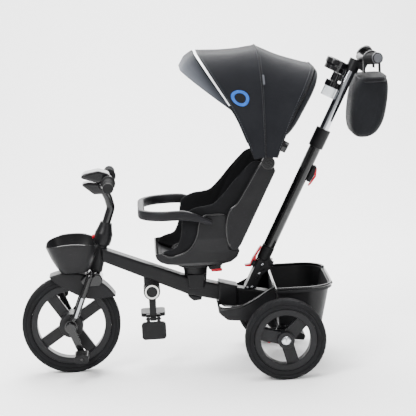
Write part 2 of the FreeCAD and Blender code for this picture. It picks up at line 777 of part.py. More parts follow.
def front_view(half_w, low, inset):
    """The bucket seen from the front: full width above, drawn in and rounded towards its floor."""
    w = half_w - inset
    narrow = 92.0 - inset
    z = low + inset
    points = [Vec(0, -w, 600), Vec(0, -w, 350), Vec(0, -w + 8, 316), Vec(0, -narrow - 18, 288),
              Vec(0, -narrow, z), Vec(0, narrow, z), Vec(0, narrow + 18, 288),
              Vec(0, w - 8, 316), Vec(0, w, 350), Vec(0, w, 600)]
    return Part.Face(loop(points)).extrude(Vec(400, 0, 0))


def seat():
    tunnel = front_view(seat_half_w, seat_floor - 4, 0)
    tunnel.translate(Vec(150, 0, 0))
    tunnel_in = front_view(seat_half_w, seat_floor - 4, seat_wall)
    tunnel_in.translate(Vec(150, 0, 0))
    outer = slab(loop(flat(seat_side(0))), -seat_half_w, seat_half_w).common(tunnel)
    inner = slab(loop(flat(seat_side(seat_wall))), -seat_half_w, seat_half_w).common(tunnel_in)
    shell = outer.cut(inner)
    hinge = y_rod(recline_x, recline_z, -300, 300, hinge_r + gap)
    shell = shell.cut(hinge)
    make("seat_shell", largest(shell))
    low = seat_floor + seat_wall + 3
    cushion = slab(soft(flat([(266, low + 10), (300, low + 3), (396, low), (404, low + 20),
                              (300, low + 24), (264, low + 30)]), 7),
                   -84, 84)
    make("seat_cushion", cushion)


def back_line(along, out):
    """A point beside the back's rear face: along it from the hinge, and out in front of it."""
    slope = math.radians(27.6)
    x = recline_x + hinge_r * math.cos(slope) + along * math.sin(slope) - out * math.cos(slope)
    z = recline_z - hinge_r * math.sin(slope) + along * math.cos(slope) + out * math.sin(slope)
    return (x, z)


back_len = 214.0
wing_depth = 52.0


def backrest():
    wing = [back_line(-12, 14), back_line(-8, 4), back_line(10, 0), back_line(back_len, 0),
            back_line(back_len + 14, 14), back_line(back_len + 16, 30),
            back_line(back_len - 8, 42), back_line(100, wing_depth), back_line(80, wing_depth + 9),
            back_line(60, wing_depth + 9), back_line(30, wing_depth - 2), back_line(0, 30)]
    panel = [back_line(6, 0), back_line(back_len, 0), back_line(back_len + 14, 14),
             back_line(back_len + 12, 18), back_line(back_len - 2, 5), back_line(6, 5)]
    side_t = 5.0
    sheet = slab(loop(flat(panel)), -back_half_w, back_half_w)
    lower = slab(loop(flat([back_line(0, -5), back_line(66, -5), back_line(66, 80),
                            back_line(0, 80)])), -back_half_w - 1, back_half_w + 1)
    core = Part.makeBox(400, 2 * (seat_half_w - seat_wall - 2), 400,
                        Vec(300, -seat_half_w + seat_wall + 2, 200))
    sheet = sheet.cut(lower.cut(core))
    barrel = y_rod(recline_x, recline_z, -seat_half_w + 8, seat_half_w - 8, hinge_r)
    body = sheet.fuse(barrel)
    for s in (-1, 1):
        side = slab(loop(flat(wing)), *sorted((s * (back_half_w - side_t), s * back_half_w)))
        body = body.fuse(side)
    body = body.removeSplitter().cut(nodes["seat_shell"])
    make("back_shell", largest(body))
    pad = slab(loop(flat([back_line(34, 6), back_line(back_len - 6, 6),
                          back_line(back_len - 6, 26), back_line(34, 26)])), -118, 118)
    pad = rounded(pad, 8, lambda e: e.BoundBox.YLength > 200)
    make("back_pad", pad)
    straps = []
    for s in (-1, 1):
        strap = slab(loop(flat([back_line(60, 27), back_line(176, 27), back_line(176, 29.5),
                                back_line(60, 29.5)])), *sorted((s * 26, s * 51)))
        straps.append(strap)
    buckle = slab(loop(flat([back_line(34, 31), back_line(58, 31), back_line(58, 44),
                             back_line(34, 44)])), -22, 22)
    make("harness", group(straps + [rounded(buckle, 3, lambda e: on_side(e, 22))]))


def recline_pin():
    """The pin is pressed into the back's barrel and turns in the seat's two walls."""
    reach = back_half_w - 4
    pin = y_rod(recline_x, recline_z, -reach, reach, 4)
    nodes["back_shell"] = largest(nodes["back_shell"].fuse(pin).removeSplitter())
    hole = y_rod(recline_x, recline_z, -200, 200, 4 + run_gap)
    nodes["seat_shell"] = largest(nodes["seat_shell"].cut(hole))


def bumper():
    half = seat_half_w + gap + bumper_t / 2
    turn = 78.0
    outer = plan(bumper_front, 372, half + bumper_t / 2, 300, 5, turn)
    inner = plan(bumper_front + bumper_t, 400, half - bumper_t / 2, 300, 5, turn - bumper_t)
    ring = Part.Face(outer).extrude(Vec(0, 0, 200)).cut(
        Part.Face(inner).extrude(Vec(0, 0, 200)))
    top = bumper_z + bumper_h / 2
    low = bumper_z - bumper_h / 2
    side = slab(loop(flat([(180, top), (302, top), (323, top - 7), (347, top - 18),
                           (378, top - 34), (378, low - 17), (360, low - 13), (325, low - 4),
                           (290, low), (180, low)])), -200, 200)
    bar = ring.common(side)
    make("bumper_bar", largest(bar.cut(nodes["seat_shell"])))


# ---------------------------------------------------------------- canopy
def bow_point(bow, height, y):
    a = math.radians(bow[0])
    return Vec(hub_x + math.sin(a) * height, y, hub_z + math.cos(a) * height)


def arch(bow, base, height, half_w, corner):
    """Edges of an arch in a bow's plane, from its left foot round to its right foot."""
    k = corner * (1 - math.sqrt(0.5))
    p = [(base, -half_w), (height - corner, -half_w), (height - k, -half_w + k),
         (height, -half_w + corner), (height, half_w - corner), (height - k, half_w - k),
         (height - corner, half_w), (base, half_w)]
    q = [bow_point(bow, h, y) for h, y in p]
    return [Part.LineSegment(q[0], q[1]).toShape(), Part.Arc(q[1], q[2], q[3]).toShape(),
            Part.LineSegment(q[3], q[4]).toShape(), Part.Arc(q[4], q[5], q[6]).toShape(),
            Part.LineSegment(q[6], q[7]).toShape()]


def band(bow, base, height, half_w, corner):
    """A closed thin band between two arches."""
    outside = arch(bow, base, height, half_w, corner)
    inside = arch(bow, base, height - cloth, half_w - cloth, corner - cloth)
    left = Part.LineSegment(bow_point(bow, base, -half_w),
                            bow_point(bow, base, -half_w + cloth)).toShape()
    right = Part.LineSegment(bow_point(bow, base, half_w),
                             bow_point(bow, base, half_w - cloth)).toShape()
    return Part.Wire(Part.__sortEdges__(outside + [right] + inside + [left]))


cover_base = 26.0
rear_half_w = canopy_half_w - 4
seam_gap = 0.4


def panel_between(first, second, half_w, other_half_w):
    return Part.makeLoft([band(first, cover_base, first[1], half_w, canopy_corner),
                          band(second, cover_base, second[1], other_half_w, canopy_corner)],
                         True, True)


eye_t = 5.2


def bow(name, bow_at, inset, eye_y):
    """A round steel arch, with an eye at each foot that turns on the hub pin."""
    half_w = eye_y + eye_t / 2
    height = bow_at[1] - inset
    corner = canopy_corner - 4
    path = Part.Wire(arch(bow_at, 8, height, half_w, corner))
    foot = bow_point(bow_at, 8, -half_w)
    ring = Part.Wire(Part.Circle(foot, bow_point(bow_at, 9, -half_w) - foot, bow_r).toShape())
    body = path.makePipeShell([ring], True, False)
    for s in (-1, 1):
        y0, y1 = sorted((s * eye_y, s * (eye_y + eye_t)))
        eye = y_rod(hub_x, hub_z, y0, y1, 11)
        body = body.fuse(eye)
    make(name, body.removeSplitter().cut(y_rod(hub_x, hub_z, -200, 200, hub_pin_r + run_gap)))


def canopy():
    inset = cloth + bow_r + 1.5
    pitch = eye_t + 0.2
    outermost = 156.2 - eye_t
    for i, (name, at) in enumerate((("front_bow", front_bow), ("middle_bow", middle_bow),
                                    ("rear_bow", rear_bow))):
        bow(name, at, inset, outermost - i * pitch)
    middle_before = (middle_bow[0] - seam_gap, middle_bow[1])
    make("front_cover", panel_between(front_bow, middle_before, canopy_half_w, canopy_half_w))
    make("rear_cover", panel_between(middle_bow, rear_bow, canopy_half_w, rear_half_w))
    hubs = []
    for s in (-1, 1):
        pin = y_rod(hub_x, hub_z, *sorted((s * back_half_w, s * 157)), hub_pin_r)
        cap = y_rod(hub_x, hub_z, *sorted((s * 156.4, s * hub_y)), hub_r)
        cap = rounded(cap, 2, lambda e: abs(abs(e.BoundBox.YMin) - hub_y) < 0.01)
        hubs.append(pin.fuse(cap).removeSplitter())
    make("canopy_hubs", group(hubs))
    visor_at = 168.0
    reach = front_bow[1] - visor_at
    root = bow_point(front_bow, visor_at, 0)
    bands = []
    for angle, push in ((front_bow[0] - 0.8, 0.0), (front_bow[0] - 10, 2.0),
                        (front_bow[0] - 19, -4.0)):
        bands.append(visor_band(root, angle, reach + push))
    make("visor", Part.makeLoft(bands, True, False))


def visor_band(root, angle, reach):
    a = math.radians(angle)
    up = Vec(math.sin(a), 0, math.cos(a))

    def at(h, y):
        return root + up * h + Vec(0, y, 0)

    def edges(w, top, corner):
        k = corner * (1 - math.sqrt(0.5))
        p = [(6, -w), (top - corner, -w), (top - k, -w + k), (top, -w + corner),
             (top, w - corner), (top - k, w - k), (top - corner, w), (6, w)]
        q = [at(h, y) for h, y in p]
        return [Part.LineSegment(q[0], q[1]).toShape(), Part.Arc(q[1], q[2], q[3]).toShape(),
                Part.LineSegment(q[3], q[4]).toShape(), Part.Arc(q[4], q[5], q[6]).toShape(),
                Part.LineSegment(q[6], q[7]).toShape()]
    w = canopy_half_w - 1
    outside = edges(w, reach, canopy_corner)
    inside = edges(w - cloth, reach - cloth, canopy_corner - cloth)
    left = Part.LineSegment(at(6, -w), at(6, -w + cloth)).toShape()
    right = Part.LineSegment(at(6, w), at(6, w - cloth)).toShape()
    return Part.Wire(Part.__sortEdges__(outside + [right] + inside + [left]))


def curtain_ring(back, half_w, low, high, corner):
    """A rounded arch shape behind the rear bow and parallel to it."""
    a = math.radians(rear_bow[0])
    up = Vec(math.sin(a), 0, math.cos(a))
    out = Vec(math.cos(a), 0, -math.sin(a))
    base = Vec(hub_x, 0, hub_z) + out * back
    frame_ = FreeCAD.Matrix(up.x, 0, out.x, base.x, 0, 1, 0, 0, up.z, 0, out.z, base.z, 0, 0, 0, 1)
    return plan(low, high, half_w, 0, corner, corner / 2).transformGeometry(frame_)


def curtain():
    """The cloth that closes the back of the canopy, bulging behind the rear bow."""
    w = cloth
    top = rear_bow[1] - 2
    start = bow_r + 2.0
    half = rear_half_w - 4
    outer = Part.makeLoft([curtain_ring(start, half, 62, top, 84),
                           curtain_ring(start + 17, half - 16, 66, top - 12, 80),
                           curtain_ring(start + 21, half - 58, 90, top - 56, 60)], True)
    inner = Part.makeLoft([curtain_ring(start - 1, half - w, 62 + w, top - w, 82),
                           curtain_ring(start + 17 - w, half - 16 - w, 66 + w, top - 12 - w, 78),
                           curtain_ring(start + 21 - w, half - 58 - w, 90 + w, top - 56 - w, 58)],
                          True)
    make("curtain", largest(outer.cut(inner)))


# ---------------------------------------------------------------- push handle
def handle_base():
    half = 22.0
    channel = handle_slab([(yoke_low - gap, -13), (yoke_low - gap, fold_back - 8),
                           (-62, 14), (-100, 14), (-112, -13)], -half, half)
    ears = []
    for s in (-1, 1):
        y0, y1 = sorted((s * 18, s * half))
        ears.append(handle_slab([(yoke_low + 9, fold_back - 9), (yoke_low + 9, fold_back + 8),
                                 (yoke_low - 10, fold_back + 8), (-62, 14), (-46, 2),
                                 (yoke_low - 4, 2)], y0, y1))
    body = channel.fuse(ears).removeSplitter()
    trim = slab(loop(flat([(300, 0), (700, 0), (700, 186), (514, 186), (434, 199.3),
                           (300, 221)])), -60, 60)
    front_slot = handle_slab([(yoke_low + 30, -30), (yoke_low + 30, -6), (-60, -6), (-60, -30)],
                             -9.5, 9.5)
    body = body.cut(trim).cut(front_slot)
    pin_at = on_handle(yoke_low, fold_back)
    knuckle = y_rod(pin_at.x, pin_at.z, -17.5, 17.5, 9.5)
    body = body.cut(knuckle).cut(y_rod(pin_at.x, pin_at.z, -40, 40, 4))
    make("handle_bracket", largest(body.removeSplitter()))
    pins = [y_rod(pin_at.x, pin_at.z, -24, 24, 4)]
    for along, behind in ((-72, 0), (-46, 6)):
        at = on_handle(along, behind)
        pins.append(rod(at + Vec(0, -half - 2.5, 0), at + Vec(0, -half, 0), 4.5))
        pins.append(rod(at + Vec(0, half, 0), at + Vec(0, half + 2.5, 0), 4.5))
    nodes["handle_bracket"] = nodes["handle_bracket"].fuse(pins).removeSplitter()


def yoke():
    block = oval_bar(yoke_low, yoke_high, 32, 39.4)
    pin_at = on_handle(yoke_low, fold_back)
    ear = handle_slab([(yoke_low, 4), (yoke_low + 22, 4), (yoke_low + 4, fold_back + 6),
                       (yoke_low, fold_back + 6)], -17, 17)
    ear = ear.fuse(y_rod(pin_at.x, pin_at.z, -17, 17, 9))
    below = handle_slab([(yoke_low, -40), (yoke_low, fold_back - 9.2), (yoke_low - 40, 8),
                         (yoke_low - 40, -40)], -40, 40)
    body = block.fuse(ear).cut(below).removeSplitter()
    body = body.cut(y_rod(pin_at.x, pin_at.z, -40, 40, 4 + run_gap))
    bore = rod(on_handle(yoke_low + 6), on_handle(yoke_high + 1), spigot_r + run_gap)
    body = body.cut(bore)
    for turn in (0, 14, 18, 23):       # the yoke clears the bracket as it folds
        bracket = nodes["handle_bracket"].copy()
        bracket.rotate(pin_at, Vec(0, 1, 0), -turn)
        body = body.cut(bracket)
    make("handle_yoke", largest(body))


def telescope():
    base = yoke_high + gap
    tube = oval_bar(base, outer_high, outer_d, outer_w)
    hollow = oval_bar(base + 24, outer_high + 1, outer_d - 2 * tube_wall, outer_w - 2 * tube_wall)
    spigot = rod(on_handle(yoke_low + 6.5), on_handle(yoke_high + 22), spigot_r)
    make("outer_tube", tube.cut(hollow).fuse(spigot).removeSplitter())
    collar = oval_bar(collar_from, collar_to, outer_d + 8, outer_w + 8)
    collar = collar.cut(oval_bar(collar_from - 1, outer_high, outer_d, outer_w))
    collar = collar.cut(oval_bar(outer_high - 1, collar_to + 1, inner_d + 2 * run_gap,
                                 inner_w + 2 * run_gap))
    inner = oval_bar(inner_low, inner_high, inner_d, inner_w)
    inner = inner.cut(oval_bar(inner_low - 1, inner_high + 1, inner_d - 4, inner_w - 4))
    grooves = []
    for s in (-1, 1):
        y0, y1 = sorted((s * (inner_w / 2 - 1.2), s * (inner_w / 2 + 2)))
        grooves.append(handle_slab([(inner_low - 1, -1.6), (inner_high + 1, -1.6),
                                    (inner_high + 1, 1.6), (inner_low - 1, 1.6)], y0, y1))
    make("inner_tube", inner.cut(grooves))
    block = handle_slab([(206, outer_d / 2), (206, 24), (226, 27), (250, 24), (250, outer_d / 2)],
                        -11, 11)
    cheeks = block.cut(handle_slab([(200, 17), (200, 40), (252, 40), (252, 17)], -6.6, 6.6))
    hinge = on_handle(242, 22)
    cheeks = cheeks.fuse(y_rod(hinge.x, hinge.z, -12.5, 12.5, 2.5)).removeSplitter()
    make("handle_collar", group([collar.removeSplitter(), cheeks]))
    lever = handle_slab([(246, 18), (247, 27), (226, 34), (204, 30), (196, 27), (196, 24),
                         (206, 26), (226, 29), (236, 18)], -6, 6)
    make("height_lever", lever.cut(y_rod(hinge.x, hinge.z, -20, 20, 2.5 + run_gap)))
    at = on_handle(-44, -19)
    lever = handle_slab([(-50, -15), (-38, -15), (-24, -19), (4, -17), (4, -20.5), (-22, -24),
                         (-34, -26), (-50, -25), (-58, -37), (-61, -34), (-56, -22)], -9, 9)
    make("fold_lever", lever.cut(y_rod(at.x, at.z, -20, 20, 2.5 + run_gap)))
    lever_pin = y_rod(at.x, at.z, -13, 13, 2.5)
    post = handle_slab([(-52, -6), (-36, -6), (-36, -23), (-52, -23)], -13, 13)
    post = post.cut(handle_slab([(-70, -50), (-70, -5), (10, -5), (10, -50)], -9.5, 9.5))
    bracket = nodes["handle_bracket"].fuse(post).fuse(lever_pin).removeSplitter()
    make("handle_bracket", largest(bracket))


push_half_w = 112.0
push_grip_r = 14.5


def push_bar():
    root = on_handle(inner_high)
    block = oval_bar(inner_high - 22, inner_high + 9, inner_d + 8, inner_w + 12)
    block = block.cut(oval_bar(inner_high - 30, inner_high, inner_d, inner_w))
    end = vec(803, -push_half_w, 779)
    knee = vec(root.x + 16, -36, root.z + 12)
    path = [end, knee, vec(knee.x, 36, knee.z), vec(end.x, push_half_w, end.z)]
    bar = sweep(path, 9, 40, 7)
    solid_bar = sweep(path, 9, 40)
    block = block.fuse(handle_slab([(inner_high - 6, 0), (inner_high + 9, 0),
                                    (inner_high + 14, 30), (inner_high - 12, 28)], -17, 17))
    head = largest(block.cut(solid_bar).cut(nodes["inner_tube"]).removeSplitter())
    make("push_bar", head.fuse(bar).removeSplitter())
    grips = []
    for s in (-1, 1):
        outer_end = vec(end.x, s * push_half_w, end.z)
        inner_end = vec(knee.x, s * 36, knee.z)
        way = inner_end - outer_end
        way.normalize()
        grip = turned([(9, 0), (push_grip_r - 1, 0), (push_grip_r, 3), (push_grip_r, 52),
                       (push_grip_r - 2, 58), (9, 58)], outer_end, way)
        cap = rod(outer_end, outer_end - way * 4, push_grip_r - 0.5)
        grips.append(grip.cut(solid_bar).fuse(cap).removeSplitter())
    make("push_grips", group(grips))


holder_off = -29.6
sleeve_r = 17.0
cup_r = 27.0


def holder():
    def on_sleeve(along):
        return on_handle(along, holder_off)
    sleeve = pipe(on_sleeve(424), on_sleeve(450), sleeve_r, sleeve_r - 2)
    make("clear_sleeve", sleeve)
    ring = rod(on_sleeve(450), on_sleeve(466), sleeve_r + 2).cut(
        rod(on_sleeve(449), on_sleeve(460), sleeve_r - 2))
    notches = []
    for i in range(14):
        a = 2 * math.pi * i / 14
        at = on_handle(450, holder_off + math.cos(a) * (sleeve_r + 2.6),
                       math.sin(a) * (sleeve_r + 2.6))
        notches.append(rod(at, at + handle_axis * 16, 1.8))
    ring = ring.cut(notches)
    tube_way = oval_bar(440, 520, inner_d + 1, inner_w + 1)
    nut = largest(ring.cut(tube_way))
    neck = rod(on_sleeve(466), on_sleeve(494), 11.0)
    cup_at = -41.0
    cup_low = 490.0
    cup_high = 520.0
    profile = [(cup_r - 2.5, 0), (cup_r, 0), (cup_r, 13), (cup_r + 2.5, 15),
               (cup_r + 2.5, cup_high - cup_low - 2), (cup_r + 1, cup_high - cup_low),
               (cup_r - 2.5, cup_high - cup_low)]
    cup = turned(profile, on_handle(cup_low, cup_at), handle_axis)
    room = rod(on_handle(cup_low - 1, cup_at), on_handle(cup_high + 1, cup_at), cup_r - 2.5)
    post = handle_slab([(472, -24), (472, -13), (510, -13), (510, -16), (492, -24)], -9, 9)
    link = neck.fuse(post).cut(room)
    body = cup.fuse(link).fuse(nut).cut(tube_way).cut(nodes["push_bar"])
    make("cup_holder", largest(body.removeSplitter()))


bag_top = 731.0


def bag():
    outline = soft(flat([(763, bag_top), (833, bag_top), (838, 668), (812, 592), (762, 574),
                         (732, 590), (739, 686)]), 34)
    body = slab(outline, -86, 86)
    body = rounded(body, 16, lambda e: on_side(e, 86))
    loops = []
    for s in (-1, 1):
        y = s * 62
        k = (push_half_w - 62) / (push_half_w - 36)
        root = on_handle(inner_high)
        x = 803 + (root.x + 16 - 803) * k
        z = 779 + (root.z + 12 - 779) * k
        outer = slab(loop(flat([(x - 21, z + 20), (x + 21, z + 20), (x + 21, bag_top),
                                (x - 21, bag_top)])), y - 9, y + 9)
        inner = slab(loop(flat([(x - 19.5, z + 18.5), (x + 19.5, z + 18.5), (x + 19.5, 690),
                                (x - 19.5, 690)])), y - 10, y + 10)
        loops.append(outer.cut(inner).cut(body))
    make("bag", group([body] + [piece for one in loops for piece in one.Solids]))


for step in (front_wheel, rear_wheels, rear_axle, fork, steering_collar, handlebar, fender, front_basket,
             cranks, frame, seat_post, boom_latch, footrest, rear_basket, brake, seat, backrest,
             recline_pin, bumper, canopy, curtain, handle_base, yoke, telescope, push_bar, holder,
             bag):
    step()

box = Part.Compound(list(nodes.values())).BoundBox
shift = Vec(-(box.XMin + box.XMax) / 2, 0, 0)
os.makedirs("parts", exist_ok=True)
for name, shape in nodes.items():
    placed = shape.copy()
    placed.translate(shift)
    placed.exportStep("parts/" + name + ".step")
print("nodes", len(nodes), "length %.1f width %.1f height %.1f" % (
    box.XLength, box.YLength, box.ZMax - box.ZMin), "shift %.2f" % shift.x)
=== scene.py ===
import json
import math
import bmesh
import bpy
from mathutils import Matrix, Vector, noise

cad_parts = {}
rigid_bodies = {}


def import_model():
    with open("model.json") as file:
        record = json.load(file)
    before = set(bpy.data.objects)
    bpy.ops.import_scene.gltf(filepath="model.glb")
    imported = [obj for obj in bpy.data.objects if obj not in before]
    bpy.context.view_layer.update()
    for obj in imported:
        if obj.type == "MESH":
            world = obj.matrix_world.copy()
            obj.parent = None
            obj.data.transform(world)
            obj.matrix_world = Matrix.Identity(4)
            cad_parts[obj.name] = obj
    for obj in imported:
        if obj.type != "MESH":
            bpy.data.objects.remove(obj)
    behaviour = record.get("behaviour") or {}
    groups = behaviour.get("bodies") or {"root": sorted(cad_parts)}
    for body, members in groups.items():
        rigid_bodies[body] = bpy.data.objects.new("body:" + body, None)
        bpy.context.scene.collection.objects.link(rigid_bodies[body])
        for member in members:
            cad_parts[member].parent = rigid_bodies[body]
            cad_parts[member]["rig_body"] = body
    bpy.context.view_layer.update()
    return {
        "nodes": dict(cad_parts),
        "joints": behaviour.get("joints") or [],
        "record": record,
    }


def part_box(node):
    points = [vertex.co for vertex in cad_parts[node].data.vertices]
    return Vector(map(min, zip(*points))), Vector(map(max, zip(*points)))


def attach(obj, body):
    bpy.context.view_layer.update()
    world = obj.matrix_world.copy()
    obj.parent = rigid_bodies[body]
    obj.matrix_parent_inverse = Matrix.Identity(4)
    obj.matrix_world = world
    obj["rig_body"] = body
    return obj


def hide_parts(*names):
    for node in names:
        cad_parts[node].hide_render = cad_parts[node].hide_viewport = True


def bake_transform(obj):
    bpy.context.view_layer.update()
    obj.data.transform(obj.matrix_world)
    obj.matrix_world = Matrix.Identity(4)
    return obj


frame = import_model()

mm = 0.001
bothSides = ((-1, "Left"), (1, "Right"))
record = frame["record"]
joints = {joint["name"]: joint for joint in frame["joints"]}
slotOf = {part["node"]: part["material_slot"] for part in record["subparts"]}
bodyOf = {node: thing["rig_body"] for node, thing in frame["nodes"].items()}


def pivot(jointName):
    return Vector(joints[jointName]["pos_m"])


def linear(hexColour):
    channels = [int(hexColour[i:i + 2], 16) / 255 for i in (1, 3, 5)]
    return tuple(c / 12.92 if c <= 0.04045 else ((c + 0.055) / 1.055) ** 2.4 for c in channels) + (1.0,)


def addNode(tree, kind, inputs=None, **settings):
    node = tree.nodes.new(kind)
    for key, value in settings.items():
        setattr(node, key, value)
    for key, value in (inputs or {}).items():
        if isinstance(value, bpy.types.NodeSocket):
            tree.links.new(value, node.inputs[key])
        else:
            node.inputs[key].default_value = value
    return node


def addPiece(name, points, faces, finish, smooth=True, outward=True):
    mesh = bpy.data.meshes.new(name)
    mesh.from_pydata([tuple(p) for p in points], [], faces)
    if outward:
        work = bmesh.new()
        work.from_mesh(mesh)
        bmesh.ops.recalc_face_normals(work, faces=work.faces)
        work.to_mesh(mesh)
        work.free()
    mesh.materials.append(finish)
    if smooth:
        mesh.shade_smooth()
    piece = bpy.data.objects.new(name, mesh)
    bpy.context.scene.collection.objects.link(piece)
    return piece


def bakeModifiers(piece):
    graph = bpy.context.evaluated_depsgraph_get()
    mesh = bpy.data.meshes.new_from_object(piece.evaluated_get(graph))
    piece.modifiers.clear()
    piece.data = mesh
    return piece


def addModifier(piece, kind, **settings):
    modifier = piece.modifiers.new(kind.lower(), kind)
    for key, value in settings.items():
        setattr(modifier, key, value)
    return modifier


def gridFaces(rows, columns, loopRows=False, loopColumns=False):
    faces = []
    for i in range(rows if loopRows else rows - 1):
        for j in range(columns if loopColumns else columns - 1):
            a, b = i * columns, ((i + 1) % rows) * columns
            k = (j + 1) % columns
            faces.append((a + j, a + k, b + k, b + j))
    return faces


def loftPiece(name, rings, finish, capped=True):
    count = len(rings[0])
    points = [p for ring in rings for p in ring]
    faces = gridFaces(len(rings), count, loopColumns=True)
    if capped:  # each end is closed with a fan round its middle
        for start, ring in ((0, rings[0]), ((len(rings) - 1) * count, rings[-1])):
            points.append(sum(ring, Vector()) / count)
            middle = len(points) - 1
            faces += [(start + j, start + (j + 1) % count, middle) for j in range(count)]
    return addPiece(name, points, faces, finish)


def settle(piece, body, slotName=None, nodes=()):
    for node in nodes:
        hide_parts(node)
    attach(piece, body)
    return piece


def squareRound(angle, power):
    c, s = math.cos(angle), math.sin(angle)
    return math.copysign(abs(c) ** power, c), math.copysign(abs(s) ** power, s)


def curveBetween(k, a, b, slopeA, slopeB):
    # a cubic from a to b that leaves and arrives at the given slopes
    return (a * (2 * k ** 3 - 3 * k * k + 1) + slopeA * (k ** 3 - 2 * k * k + k)
            + b * (3 * k * k - 2 * k ** 3) + slopeB * (k ** 3 - k * k))


def blendValues(table, t):
    for i in range(len(table) - 1):
        (a, va), (b, vb) = table[i], table[i + 1]
        if t <= b:
            before = table[max(i - 1, 0)]
            after = table[min(i + 2, len(table) - 1)]
            slopeA = (vb - before[1]) / (b - before[0]) * (b - a)
            slopeB = (after[1] - va) / (after[0] - a) * (b - a)
            return curveBetween(max(0.0, (t - a) / (b - a)), va, vb, slopeA, slopeB)
    return table[-1][1]


def easePath(points, steps=6):
    path = []
    for i in range(len(points) - 1):
        a, b = points[i], points[i + 1]
        slopeA = (b - points[max(i - 1, 0)]) * 0.5
        slopeB = (points[min(i + 2, len(points) - 1)] - a) * 0.5
        path += [curveBetween(j / steps, a, b, slopeA, slopeB) for j in range(steps)]
    return path + [points[-1]]


def ovalRing(count, power, place):
    return [place(*squareRound(2 * math.pi * j / count, power)) for j in range(count)]


def blankMaterial(name):
    material = bpy.data.materials.new(name)
    material.use_nodes = True
    tree = material.node_tree
    shader = tree.nodes["Principled BSDF"]
    place = addNode(tree, "ShaderNodeTexCoord").outputs["Object"]
    return material, tree, shader, place


def addMath(tree, operation, a, b=None):
    inputs = {0: a} if b is None else {0: a, 1: b}
    return addNode(tree, "ShaderNodeMath", inputs, operation=operation).outputs[0]


def mixColours(tree, factor, first, second):
    mix = addNode(tree, "ShaderNodeMix", {0: factor, 6: first, 7: second}, data_type="RGBA")
    return mix.outputs[2]


def spread(tree, value, low, high, outLow=0.0, outHigh=1.0):
    return addNode(tree, "ShaderNodeMapRange",
                   {0: value, 1: low, 2: high, 3: outLow, 4: outHigh}).outputs[0]


def clouds(tree, place, sizeMm, detail=3.0):
    return addNode(tree, "ShaderNodeTexNoise",
                   {"Vector": place, "Scale": 1000 / sizeMm, "Detail": detail}).outputs[0]


def hardFinish(name, look):
    # one moulded, painted or plated surface: a fine grain, handling marks and a dusty bloom
    material, tree, shader, place = blankMaterial(name)
    bloom = spread(tree, clouds(tree, place, look["bloomMm"]), 0.35, 0.7)
    grain = clouds(tree, place, look["grainMm"], 2.0)
    scuffPlace = addNode(tree, "ShaderNodeMapping",
                         {"Vector": place, "Scale": (1.0, 1.0, 6.0), "Rotation": (0.5, 0.4, 0.9)})
    scuffs = spread(tree, clouds(tree, scuffPlace.outputs[0], 9.0, 6.0), 0.62, 0.72)
    worn = addMath(tree, "MULTIPLY", scuffs, look["scuff"])
    base = mixColours(tree, bloom, linear(look["colour"]), linear(look["bloom"]))
    base = mixColours(tree, worn, base, linear(look["worn"]))
    rough = spread(tree, bloom, 0, 1, look["rough"] - 0.04, look["rough"] + 0.05)
    rough = addMath(tree, "ADD", rough, addMath(tree, "MULTIPLY", worn, 0.25))
    bump = addNode(tree, "ShaderNodeBump", {"Height": grain, "Strength": look["bump"],
                                            "Distance": look["grainMm"] * mm * 0.25})
    tree.links.new(base, shader.inputs["Base Color"])
    tree.links.new(rough, shader.inputs["Roughness"])
    tree.links.new(bump.outputs[0], shader.inputs["Normal"])
    shader.inputs["Metallic"].default_value = look.get("metallic", 0.0)
    shader.inputs["IOR"].default_value = look.get("ior", 1.5)
    shader.inputs["Specular IOR Level"].default_value = look.get("shine", 0.16)
    shader.inputs["Coat Weight"].default_value = look.get("coat", 0.0)
    shader.inputs["Coat Roughness"].default_value = 0.08
    shader.inputs["Transmission Weight"].default_value = look.get("clear", 0.0)
    return material


def clothFinish(name, look):
    # woven cloth: over-and-under threads, slubs along them, and soft creases
    material, tree, shader, place = blankMaterial(name)
    axes = addNode(tree, "ShaderNodeSeparateXYZ", {0: place})
    turns = 2 * math.pi / (look["threadMm"] * mm)
    across = addMath(tree, "SINE", addMath(tree, "MULTIPLY", axes.outputs[0], turns))
    along = addMath(tree, "ADD", axes.outputs[1], axes.outputs[2])
    if look.get("twill"):
        along = addMath(tree, "ADD", along, axes.outputs[0])
    along = addMath(tree, "SINE", addMath(tree, "MULTIPLY", along, turns))
    weave = addMath(tree, "MULTIPLY", across, along)
    slub = clouds(tree, place, look["threadMm"] * 2.5, 4.0)
    crease = clouds(tree, place, look["creaseMm"], 2.0)
    shade = spread(tree, clouds(tree, place, 60.0), 0.3, 0.7)
    base = mixColours(tree, shade, linear(look["colour"]), linear(look["shade"]))
    base = mixColours(tree, spread(tree, weave, -1, 1, 0.0, look.get("contrast", 0.35)),
                      base, linear(look["thread"]))
    if "fade" in look:  # the cloth is woven paler towards its free edge
        fade = addNode(tree, "ShaderNodeAttribute", attribute_name="fade").outputs["Fac"]
        base = mixColours(tree, fade, base, linear(look["fade"]))
    height = addMath(tree, "ADD", addMath(tree, "MULTIPLY", weave, 0.5), slub)
    fine = addNode(tree, "ShaderNodeBump", {"Height": height, "Strength": look["bump"],
                                            "Distance": look["threadMm"] * mm * 0.3})
    soft = addNode(tree, "ShaderNodeBump", {"Height": crease, "Strength": 0.35,
                                            "Distance": look["creaseMm"] * mm * 0.12,
                                            "Normal": fine.outputs[0]})
    tree.links.new(base, shader.inputs["Base Color"])
    tree.links.new(soft.outputs[0], shader.inputs["Normal"])
    rough = spread(tree, slub, 0, 1, look["rough"] - 0.06, look["rough"] + 0.06)
    tree.links.new(rough, shader.inputs["Roughness"])
    shader.inputs["Sheen Weight"].default_value = look.get("sheen", 0.3)
    shader.inputs["Sheen Roughness"].default_value = 0.45
    shader.inputs["Specular IOR Level"].default_value = 0.07
    return material


